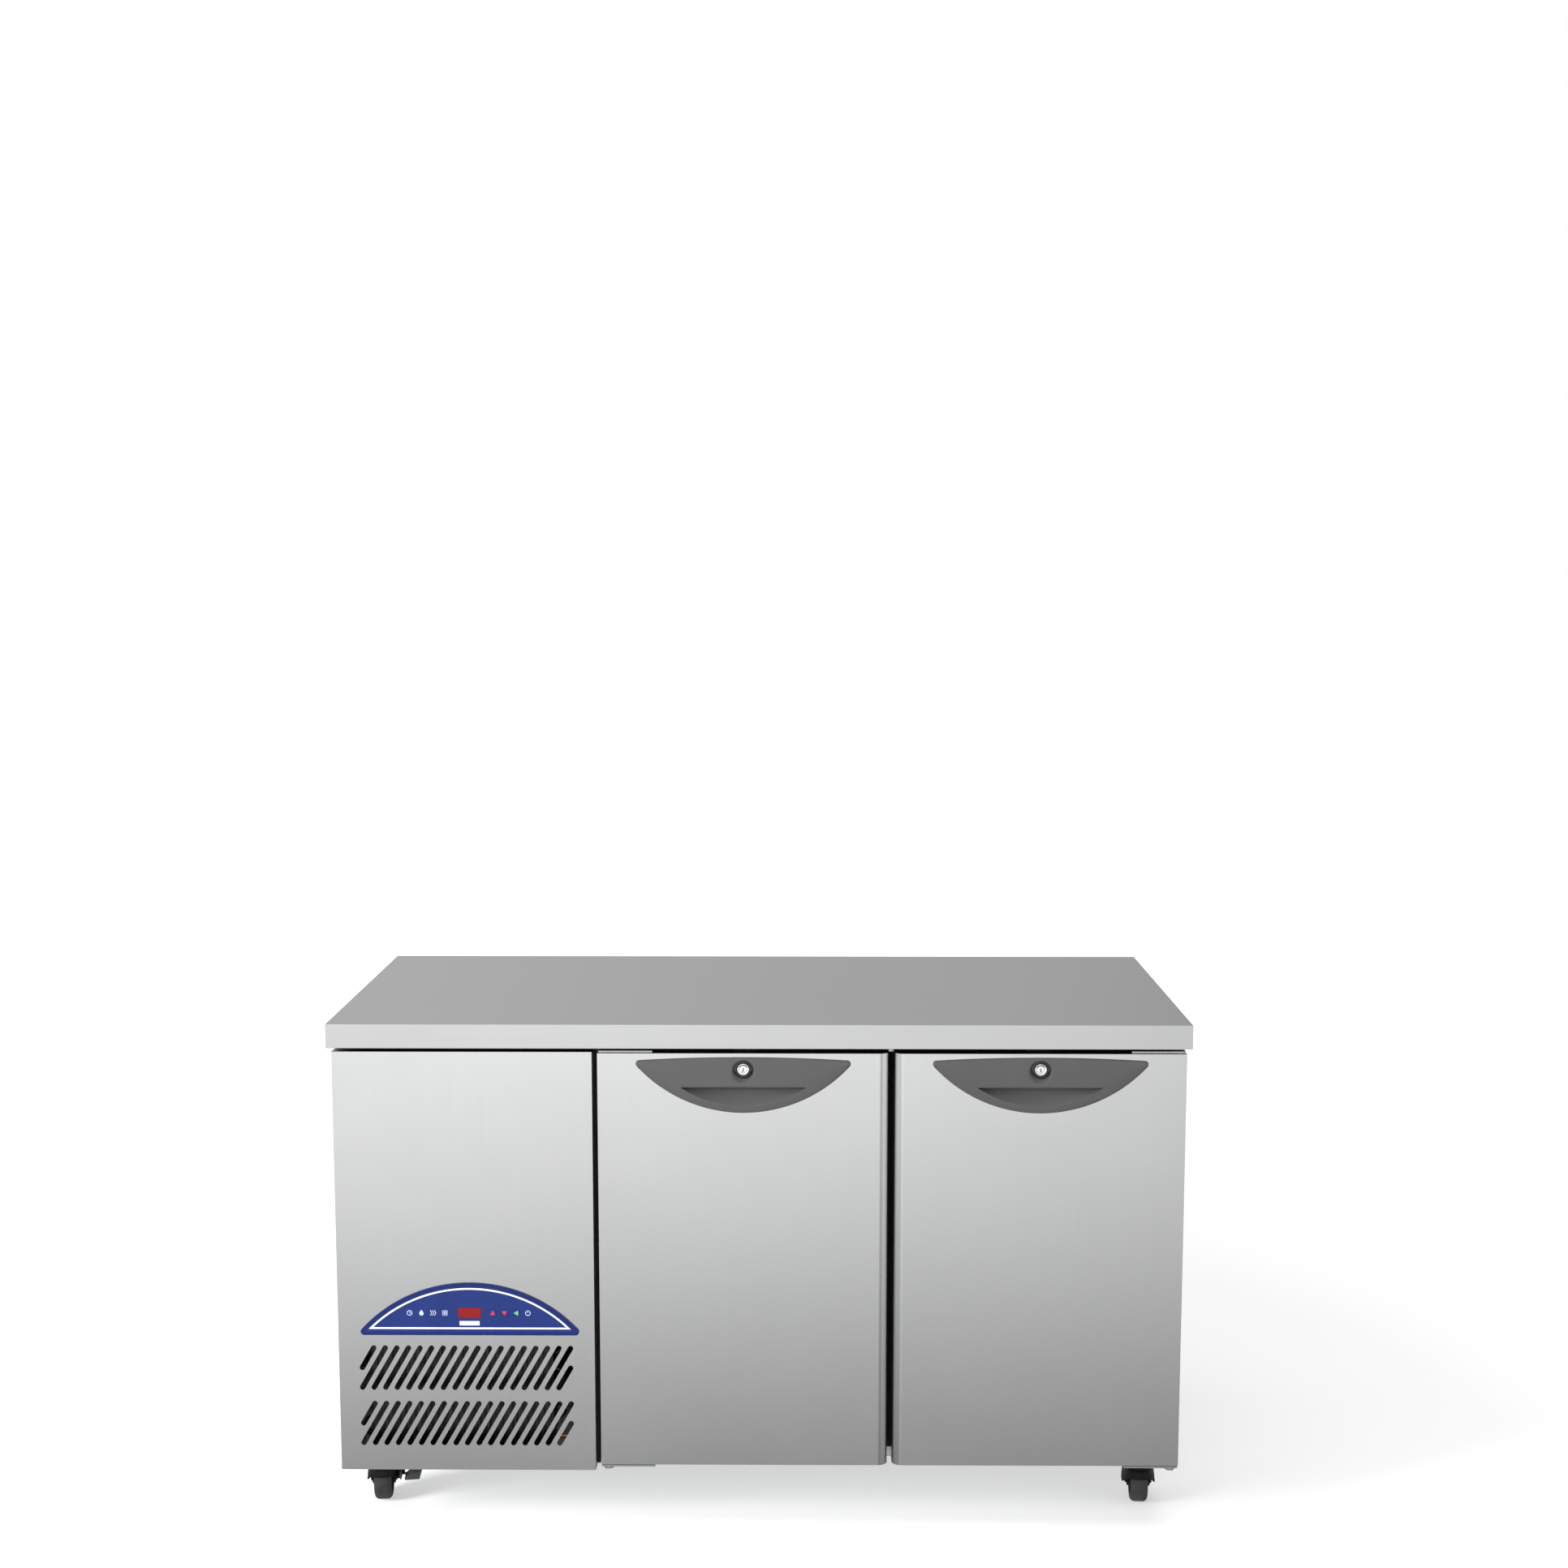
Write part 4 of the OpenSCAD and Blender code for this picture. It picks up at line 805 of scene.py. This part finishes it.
PANEL_R = 243 * MM
LINE_ARC = (8.4 * MM, 11.4 * MM)
LINE_FLAT = (10.6 * MM, 13.6 * MM)
LABEL = (33 * MM, 7.4 * MM)
LABEL_DROP = 17.6 * MM
MARKS_LEFT = 99.2 * MM
MARK_PITCH = 19.5 * MM
DIAL_R = (4.6 * MM, 3.5 * MM)
DROP_R = 3.6 * MM
WAVE_PITCH = 3.4 * MM
WAVE_H = 4.2 * MM
WAVE_LEAN = 24
BLADE_R = (2.4 * MM, 1.3 * MM)
BLADE_OUT = 3.0 * MM
ARROW_R = 4.8 * MM
ARROW_SHIFT = 0.7 * MM
POWER_R = (4.6 * MM, 3.4 * MM)
INK_T = 0.14 * MM
INK_SUNK = 0.05 * MM


def crescent_loop(mid_x, low_z, height, inset_arc, inset_flat, steps=120):
    """A crescent with its flat edge down, its arc and its flat edge moved inwards."""
    arc_z = low_z + height - PANEL_R
    radius = PANEL_R - inset_arc
    flat = low_z + inset_flat
    half = math.acos((flat - arc_z) / radius)
    return [
        (
            mid_x + radius * math.sin(half * (2 * k / steps - 1)),
            arc_z + radius * math.cos(half * (2 * k / steps - 1)),
        )
        for k in range(steps + 1)
    ]


class Film:
    """A thin printed film on a surface, to which plates and bands of ink are added."""

    def __init__(self, surface_y):
        self.bm = bmesh.new()
        self.depths = (surface_y - INK_T, surface_y + INK_SUNK)

    def plate(self, loop):
        add_plate(self.bm, loop, *self.depths)

    def band(self, outer, inner):
        add_band(self.bm, outer, inner, *self.depths)

    def finish(self, name, body, ink):
        sharpen(finish_piece(name, self.bm, body, ink), 30)


def triangle(x, z, size, degrees):
    """A triangle that points in a direction."""
    return [
        (
            x + size * math.cos(math.radians(degrees + 120 * k)),
            z + size * math.sin(math.radians(degrees + 120 * k)),
        )
        for k in range(3)
    ]


def bar(x, z, length, width, degrees=0.0):
    """A straight stroke centred on a point."""
    turn = Matrix.Rotation(math.radians(degrees), 2)
    half = Vector((length / 2, width / 2))
    corners = [(-half.x, -half.y), (half.x, -half.y), (half.x, half.y), (-half.x, half.y)]
    return [tuple(turn @ Vector(c) + Vector((x, z))) for c in corners]


def compressor_mark(film, x, z):
    """A dial with two hands."""
    film.band(*(circle_loop(x, z, r) for r in DIAL_R))
    film.plate(bar(x, z + 1.2 * MM, 4.2 * MM, 1.0 * MM, 90))
    film.plate(bar(x + 1.2 * MM, z - 0.4 * MM, 3.0 * MM, 1.0 * MM))


def drop_mark(film, x, z):
    """A drop with its tip up."""
    tip = [(x, z + 5.6 * MM)]
    film.plate(tip + circle_loop(x, z - 1 * MM, DROP_R, steps=24, start=150, sweep=240))


def defrost_mark(film, x, z):
    """Three rising waves, each of two leaning strokes."""
    for k in range(3):
        wave_x = x + (k - 1) * WAVE_PITCH
        film.plate(bar(wave_x, z - WAVE_H / 2, 5.0 * MM, 1.2 * MM, 90 - WAVE_LEAN))
        film.plate(bar(wave_x, z + WAVE_H / 2, 5.0 * MM, 1.2 * MM, 90 + WAVE_LEAN))


def fan_mark(film, x, z):
    """Four round blades."""
    for k in range(4):
        turn = math.radians(45 + 90 * k)
        blade_x = x + BLADE_OUT * math.cos(turn)
        blade_z = z + BLADE_OUT * math.sin(turn)
        film.band(*(circle_loop(blade_x, blade_z, r, steps=20) for r in BLADE_R))


def arrow_mark(film, x, z, degrees):
    """A triangle that stands back a little, so that it looks centred."""
    turn = math.radians(degrees)
    back_x = x - ARROW_SHIFT * math.cos(turn)
    back_z = z - ARROW_SHIFT * math.sin(turn)
    film.plate(triangle(back_x, back_z, ARROW_R, degrees))


def power_mark(film, x, z):
    """An open ring with a stroke in its gap."""
    outer, inner = (circle_loop(x, z, r, steps=28, start=120, sweep=300) for r in POWER_R)
    film.plate(outer + inner[::-1])
    film.plate(bar(x, z + 3 * MM, 4.6 * MM, 1.3 * MM, 90))


def key_mark(key, ink, draw, *details):
    """A mark on one key, which moves with it."""
    lo, _, mid = span(key)
    film = Film(lo.y)
    draw(film, mid.x, span("key_up")[2].z, *details)
    film.finish(f"{key}_mark", key, ink)


def make_control_panel():
    """White line and label, four pale marks on the membrane and one mark on each key."""
    lo, hi, mid = span("control_bezel")
    film_y = span("control_membrane")[0].y
    mark_z = span("key_up")[2].z

    outline = Film(film_y)
    outline.band(*(
        crescent_loop(mid.x, lo.z, hi.z - lo.z, arc, flat) for arc, flat in zip(LINE_ARC, LINE_FLAT)
    ))
    outline.finish("control_outline", "cabinet", WHITE_INK)
    label = Film(film_y)
    label.plate(bar(mid.x, mark_z - LABEL_DROP, *LABEL))
    label.finish("control_label", "cabinet", WHITE_INK)

    for place, mark in enumerate((compressor_mark, drop_mark, defrost_mark, fan_mark)):
        film = Film(film_y)
        mark(film, mid.x - MARKS_LEFT + place * MARK_PITCH, mark_z)
        film.finish(mark.__name__, "cabinet", PALE_INK)

    key_mark("key_up", RED_INK, arrow_mark, 90)
    key_mark("key_down", RED_INK, arrow_mark, -90)
    key_mark("key_defrost", GREEN_INK, arrow_mark, 180)
    key_mark("key_standby", PALE_INK, power_mark)


# -------- castors

TRAIL = 28 * MM
AXLE_R = 5 * MM
# The hood: a dome that is squarer than a ball, over a rim that arches up at its sides.
HOOD_HALF = 29 * MM
HOOD_INSET = 1.2 * MM
HOOD_WALL = 2.4 * MM
HOOD_OVER_TYRE = 6 * MM
HOOD_RIM_Z = 37 * MM
HOOD_SQUARE = 2.6
HOOD_STEPS = 64
HOOD_CLIMBS = 16
RIM_ARCH = 16 * MM
RIM_POWER = 6
RIM_GROW = 0.7 * MM
RIM_H = 2.2 * MM
# The fork's legs, inside the hood.
LEG_IN = 16.5 * MM
LEG_T = 3 * MM
LEG_R = 11 * MM
LEG_STEPS = 20
LEG_TOP = (17 * MM, HOOD_RIM_Z + 22 * MM)
# The swivel head above the hood.
HEAD_R = 23 * MM
HEAD_BORE = 8.3 * MM
HEAD_SKIRT = 9 * MM


def castor_frame(corner):
    """The swivel pin's place, and the castor's own axes as a matrix."""
    swivel = joint(f"castor_{corner}_swivel")["pos_m"]
    axle = joint(f"castor_{corner}_roll")
    across = Vector(axle["axis"]).normalized()
    along = Vector((-across.y, across.x, 0))
    turn = Matrix((across, along, UPWARDS)).transposed().to_4x4()
    return Matrix.Translation((swivel[0], swivel[1], 0)) @ turn


def wheel_radius(corner):
    """Radius of a wheel, which is also the height of its axle."""
    return span(f"castor_wheel_{corner}")[1].z / 2


def hood_point(u, v, half_x, half_y, rise):
    """A point of the hood's dome: u turns round it, v climbs from the arched rim to the crown."""
    power = 2 / HOOD_SQUARE
    side = max(0.0, math.cos(v)) ** power
    up = max(0.0, math.sin(v)) ** power

    def bowed(value):
        return math.copysign(abs(value) ** power, value)

    arch = RIM_ARCH * (1 - bowed(abs(math.cos(u))) ** RIM_POWER)
    return Vector((
        half_x * side * bowed(math.cos(u)),
        TRAIL + half_y * side * bowed(math.sin(u)),
        HOOD_RIM_Z + arch + max(0.0, rise - arch) * up,
    ))


def hood_ring(bm, v, half_x, half_y, rise, lift=0.0):
    """One ring of vertices round the hood."""
    turns = [2 * math.pi * k / HOOD_STEPS for k in range(HOOD_STEPS)]
    up = Vector((0, 0, lift))
    return [bm.verts.new(hood_point(u, v, half_x, half_y, rise) + up) for u in turns]


def add_hood_dome(bm, half_y, rise):
    """The hood's outer and inner shell, joined by a lip round the rim."""
    half_x = HOOD_HALF - HOOD_INSET
    rims = []
    for wall in (0.0, HOOD_WALL):
        rings = [
            hood_ring(bm, math.pi / 2 * k / HOOD_CLIMBS, half_x - wall, half_y - wall, rise - wall)
            for k in range(HOOD_CLIMBS)
        ]
        top = bm.verts.new((0, TRAIL, HOOD_RIM_Z + rise - wall))
        rings.append([top] * HOOD_STEPS)
        grid_faces(bm, rings, closed_u=True)
        rims.append(rings[0])
    lip = [hood_ring(bm, 0, half_x + RIM_GROW, half_y, 0, lift) for lift in (RIM_H, 0.0)]
    grid_faces(bm, [rims[0], *lip, rims[1]], closed_u=True)


def add_fork_legs(bm, axle_z):
    """Two legs beside the wheel, round under the axle."""
    turns = [math.radians(180 + 180 * k / LEG_STEPS) for k in range(LEG_STEPS + 1)]
    loop = [(TRAIL + LEG_R * math.cos(a), axle_z + LEG_R * math.sin(a)) for a in turns]
    half, top_z = LEG_TOP
    loop += [(TRAIL + half, top_z), (TRAIL - half, top_z)]
    for side in (-1, 1):
        inner = [bm.verts.new((side * LEG_IN, y, z)) for y, z in loop]
        outer = [bm.verts.new((side * (LEG_IN + LEG_T), y, z)) for y, z in loop]
        bm.faces.new(inner)
        bm.faces.new(outer)
        grid_faces(bm, [inner, outer], closed_u=True)


def castor_piece(name, bm, corner, body, replaces=(), degrees=45):
    """A black plastic piece of one castor, made in the castor's own axes."""
    bm.transform(castor_frame(corner))
    black = MATERIALS["castor_black"]
    piece = finish_piece(f"{name}_{corner}", bm, f"{body}_{corner}", black, replaces)
    return sharpen(piece, degrees)


def make_castor_hood(corner):
    """Domed plastic hood with the fork's legs."""
    axle_z = wheel_radius(corner)
    half_y = axle_z + HOOD_OVER_TYRE
    bm = bmesh.new()
    add_hood_dome(bm, half_y, axle_z + half_y - HOOD_RIM_Z)
    add_fork_legs(bm, axle_z)
    hood = castor_piece("castor_hood", bm, corner, "castor_swivel", [f"castor_fork_{corner}"])


def make_castor_head(corner):
    """Round swivel head between the hood's crown and the top plate."""
    crown_z = 2 * wheel_radius(corner) + HOOD_OVER_TYRE
    top = span(f"castor_fork_{corner}")[1].z
    bm = lathe([
        (HEAD_BORE, crown_z - HEAD_SKIRT), (HEAD_R - 3 * MM, crown_z - HEAD_SKIRT),
        (HEAD_R - 1 * MM, crown_z - 1 * MM), (HEAD_R, top - HEAD_SKIRT), (HEAD_R, top - 2 * MM),
        (HEAD_R - 1.5 * MM, top), (HEAD_R - 6 * MM, top), (HEAD_R - 6.6 * MM, top - 1 * MM),
        (HEAD_BORE, top - 1 * MM),
    ], Vector((0, 0, 0)), UPWARDS, 64)
    castor_piece("castor_head", bm, corner, "castor_swivel")


def make_castor_axle(corner):
    """Axle with a flange outside each leg."""
    flange_r = AXLE_R + 1.5 * MM
    end_r = 4 * MM
    end, edge, inside, shaft = 23 * MM, 22 * MM, 19.6 * MM, 19.5 * MM
    half = [(AXLE_R, shaft), (flange_r, inside), (flange_r, edge), (end_r, end), (0.0, end)]
    profile = [(r, -x) for r, x in reversed(half)] + half
    bm = lathe(profile, Vector((0, TRAIL, wheel_radius(corner))), RIGHTWARDS, 32)
    castor_piece("castor_axle", bm, corner, "castor_swivel")


# The pedal's section (across, up from the pin) in millimetres.
PEDAL_SECTION = ((39, -8.0), (63.5, -7.0), (67.5, 6.5), (66, 7.5), (47, 3.5), (38, -4.5))
PEDAL_W = 26 * MM
PIN_BACK = 10 * MM
ARM_X = (HOOD_HALF + 0.6 * MM, HOOD_HALF + 3.4 * MM)
ARM_TIP_X = 44 * MM
NUT_R = 6 * MM
NUT_H = 4 * MM


def make_brake(corner):
    """Brake pedal: a moulded wedge that an arm carries, and the nut on the arm's pin."""
    pin_y = TRAIL - PIN_BACK
    pin_z = joint(f"castor_{corner}_brake_press")["pos_m"][2]
    arm_in, arm_out = ARM_X
    bm = bmesh.new()
    section = [(x * MM, pin_z + z * MM) for x, z in PEDAL_SECTION]
    add_plate(bm, section, pin_y - PEDAL_W, pin_y)
    add_block(bm, (arm_in, pin_y - 22 * MM, pin_z - 8 * MM), (arm_out, pin_y + 7 * MM, pin_z + 5 * MM))
    add_block(bm, (arm_in, pin_y - 8 * MM, pin_z - 5 * MM), (ARM_TIP_X, pin_y - 3 * MM, pin_z - 2 * MM))
    bm.transform(castor_frame(corner))
    name = f"castor_brake_{corner}"
    pedal = finish_piece(f"castor_pedal_{corner}", bm, name, MATERIALS["pedal_grey"], [name])
    soften(pedal, 1.2 * MM)
    profile = [
        (0.0, 0.0), (NUT_R, 0.0), (NUT_R, NUT_H - 0.8 * MM), (NUT_R - 1 * MM, NUT_H), (0.0, NUT_H),
    ]
    nut = lathe(profile, Vector((arm_out, pin_y, pin_z)), RIGHTWARDS, 6)
    castor_piece("castor_pedal_nut", nut, corner, "castor_brake", degrees=35)


WHEEL_HALF = 15 * MM
TREAD_R = 8 * MM
TREAD_STEPS = 8
TYRE_T = 10 * MM


def make_castor_tyre(corner):
    """Rounded rubber tread."""
    wheel_r = wheel_radius(corner)
    inner_r = wheel_r - TYRE_T
    half = [(inner_r, WHEEL_HALF - 1.5 * MM), (inner_r + 2 * MM, WHEEL_HALF - 0.4 * MM)]
    for k in range(TREAD_STEPS + 1):
        turn = math.radians(90 * k / TREAD_STEPS)
        half.append((
            wheel_r - TREAD_R + TREAD_R * math.sin(turn),
            WHEEL_HALF - TREAD_R + TREAD_R * math.cos(turn),
        ))
    outside = [(wheel_r, 0.0)]
    profile = half + outside + [(r, -x) for r, x in reversed(half)]
    bm = lathe(profile, Vector((0, TRAIL, wheel_r)), RIGHTWARDS, 96)
    bm.transform(castor_frame(corner))
    name = f"castor_wheel_{corner}"
    tyre = finish_piece(f"castor_tyre_{corner}", bm, name, MATERIALS["tyre_grey"], [name])
    sharpen(tyre, 50)


def make_castor_rim(corner):
    """Moulded wheel centre with a hub that stands out and a web that lies in."""
    wheel_r = wheel_radius(corner)
    bore_r = AXLE_R + 0.3 * MM
    hub_r = 10 * MM
    inner_r = wheel_r - TYRE_T
    half = [
        (bore_r, WHEEL_HALF - 0.5 * MM), (hub_r, WHEEL_HALF - 0.5 * MM),
        (hub_r + 1 * MM, WHEEL_HALF - 3.5 * MM), (inner_r - 2 * MM, WHEEL_HALF - 4.5 * MM),
        (inner_r + 0.2 * MM, WHEEL_HALF - 2 * MM),
    ]
    profile = [(r, -x) for r, x in half] + half[::-1]
    bm = lathe(profile, Vector((0, TRAIL, wheel_r)), RIGHTWARDS, 72)
    castor_piece("castor_rim", bm, corner, "castor_wheel", degrees=40)


# -------- stage, light and camera

# Brightness of the studio as (direction, level) stops along each axis. The front reflects the
# heights from -0.45 to -0.1 towards the camera, and the worktop reflects what lies far behind.
FLOOR_TO_SKY = (
    (-1.0, 0.46), (-0.6, 0.38), (-0.5, 0.16), (-0.44, 0.04), (-0.40, 0.02), (-0.363, 0.17),
    (-0.337, 0.41), (-0.306, 0.79), (-0.275, 1.02), (-0.242, 1.13), (-0.215, 1.25), (-0.16, 1.46),
    (-0.11, 1.46), (-0.05, 1.1), (0.1, 0.95), (0.4, 0.9), (1.0, 0.85),
)
FRONT_TO_BACK = ((-1.0, 1.0), (0.0, 0.95), (0.6, 0.9), (0.8, 0.62), (0.9, 0.49), (1.0, 0.46))
LEFT_TO_RIGHT = (
    (-1.0, 0.75), (-0.5, 0.78), (-0.33, 0.97), (-0.2, 1.18), (-0.1, 1.1), (0.0, 1.01), (0.11, 0.98),
    (0.22, 0.75), (0.35, 0.5), (0.5, 0.6), (0.7, 0.8), (1.0, 0.85),
)
# How much of it lights matt surfaces.
DIFFUSE_SHARE = 0.3
WHITE = (1, 1, 1, 1)
# The floor's own glow, near and far, and the distances between which it grows.
FLOOR_GLOW = (0.46, 1.1)
FLOOR_FADE = (1.4, 4.0)
FLOOR_REACH = 40.0


def make_stage():
    """Plain pale floor that fades into the background."""
    bm = bmesh.new()
    square = ((-1, -1), (1, -1), (1, 1), (-1, 1))
    bm.faces.new([bm.verts.new((x * FLOOR_REACH, y * FLOOR_REACH, 0)) for x, y in square])
    mesh = bpy.data.meshes.new("floor")
    bm.to_mesh(mesh)
    bm.free()
    floor = add_object("floor", mesh)
    made = Shader(
        "pale_floor", (0.93, 0.93, 0.93), roughness=0.9, Specular_IOR_Level=0.0, Emission_Color=WHITE
    )
    away = made.node("ShaderNodeVectorMath")
    away.operation = "LENGTH"
    made.link(made.place(EVEN), away.inputs[0])
    glow = made.spread(away.outputs["Value"], *FLOOR_GLOW, inner=FLOOR_FADE)
    made.link(glow, made.bsdf.inputs["Emission Strength"])
    mesh.materials.append(made.material)
    floor.visible_glossy = False


def grey_ramp(tree, source, stops):
    """Maps a value between the first and last stop to a grey level."""
    low, high = stops[0][0], stops[-1][0]
    share = tree.nodes.new("ShaderNodeMapRange")
    set_sockets(share, {"From Min": low, "From Max": high})
    tree.links.new(source, share.inputs["Value"])
    made = tree.nodes.new("ShaderNodeValToRGB")
    elements = made.color_ramp.elements
    elements[0].color = (*[stops[0][1]] * 3, 1)
    elements[1].color = (*[stops[-1][1]] * 3, 1)
    for place, level in stops[1:-1]:
        elements.new((place - low) / (high - low)).color = (*[level] * 3, 1)
    tree.links.new(share.outputs["Result"], made.inputs["Fac"])
    return made.outputs["Color"]


def product(tree, first, second):
    """The product of two values."""
    made = tree.nodes.new("ShaderNodeMath")
    made.operation = "MULTIPLY"
    tree.links.new(first, made.inputs[0])
    tree.links.new(second, made.inputs[1])
    return made.outputs["Value"]


def make_world():
    """Studio for reflections, brightest in front and dim below and behind, and white to the camera."""
    world = bpy.data.worlds.new("studio")
    bpy.context.scene.world = world
    world.use_nodes = True
    tree = world.node_tree
    background = tree.nodes["Background"]
    coords = tree.nodes.new("ShaderNodeTexCoord")
    split = tree.nodes.new("ShaderNodeSeparateXYZ")
    tree.links.new(coords.outputs["Generated"], split.inputs["Vector"])
    by_height = grey_ramp(tree, split.outputs["Z"], FLOOR_TO_SKY)
    by_depth = grey_ramp(tree, split.outputs["Y"], FRONT_TO_BACK)
    by_side = grey_ramp(tree, split.outputs["X"], LEFT_TO_RIGHT)
    level = product(tree, product(tree, by_height, by_depth), by_side)
    path = tree.nodes.new("ShaderNodeLightPath")
    dimmed = tree.nodes.new("ShaderNodeMapRange")
    set_sockets(dimmed, {"To Min": 1.0, "To Max": DIFFUSE_SHARE})
    tree.links.new(path.outputs["Is Diffuse Ray"], dimmed.inputs["Value"])
    tree.links.new(product(tree, level, dimmed.outputs["Result"]), background.inputs["Strength"])
    background.inputs["Color"].default_value = WHITE

    seen = tree.nodes.new("ShaderNodeBackground")
    seen.inputs["Color"].default_value = WHITE
    mixed = tree.nodes.new("ShaderNodeMixShader")
    tree.links.new(path.outputs["Is Camera Ray"], mixed.inputs["Fac"])
    tree.links.new(background.outputs["Background"], mixed.inputs[1])
    tree.links.new(seen.outputs["Background"], mixed.inputs[2])
    tree.links.new(mixed.outputs["Shader"], tree.nodes["World Output"].inputs["Surface"])


def area_light(name, place, target, size, power):
    """Soft light that the steel doesn't mirror, so no panel turns plain white from any side."""
    light = bpy.data.lights.new(name, "AREA")
    light.shape = "RECTANGLE"
    light.size, light.size_y = size
    light.energy = power
    lamp = add_object(name, light)
    lamp.visible_glossy = False
    lamp.location = place
    lamp.rotation_euler = (Vector(target) - Vector(place)).to_track_quat("-Z", "Y").to_euler()


def make_lights():
    """A wide key light above, a strong one at the left and a faint fill at the right."""
    area_light("top_softbox", place=(0, -0.6, 3.4), target=(0, 0, 0), size=(4.0, 2.6), power=60)
    area_light("left_softbox", place=(-3.6, -2.4, 1.7), target=(0, 0, 0.5), size=(1.3, 1.5), power=170)
    area_light("right_softbox", place=(3.8, -1.6, 2.2), target=(0, 0, 0.4), size=(2.0, 2.0), power=4)


LENS = 51.65
SENSOR = 36
SHIFT_UP = 0.0526
CAMERA_PLACE = (0.071, -3.931, 1.592)
LOOK_DOWN = 7.39
LOOK_LEFT = 0.47


def make_camera():
    """Camera at the reference viewing angle, above the worktop and just right of the middle."""
    camera = bpy.data.cameras.new("camera")
    viewer = add_object("camera", camera)
    camera.lens = LENS
    camera.sensor_width = SENSOR
    camera.shift_y = SHIFT_UP
    viewer.location = CAMERA_PLACE
    viewer.rotation_euler = (math.radians(90 - LOOK_DOWN), 0, math.radians(LOOK_LEFT))
    bpy.context.scene.camera = viewer


dress_cad_nodes()
soften_cad_nodes()
blacken_keepers_as_shade()
make_bay_gap_shade()
make_post_gap_shade()
for side in SIDES:
    make_handle(side)
    make_lock_barrel(side)
    make_keyway(side)
    make_lock_ring(side)
make_control_panel()
for corner in CASTORS:
    make_castor_hood(corner)
    make_castor_head(corner)
    make_castor_axle(corner)
    make_castor_tyre(corner)
    make_castor_rim(corner)
for corner in BRAKES:
    make_brake(corner)
make_stage()
make_world()
make_lights()
make_camera()
bpy.context.scene.view_settings.view_transform = "Standard"
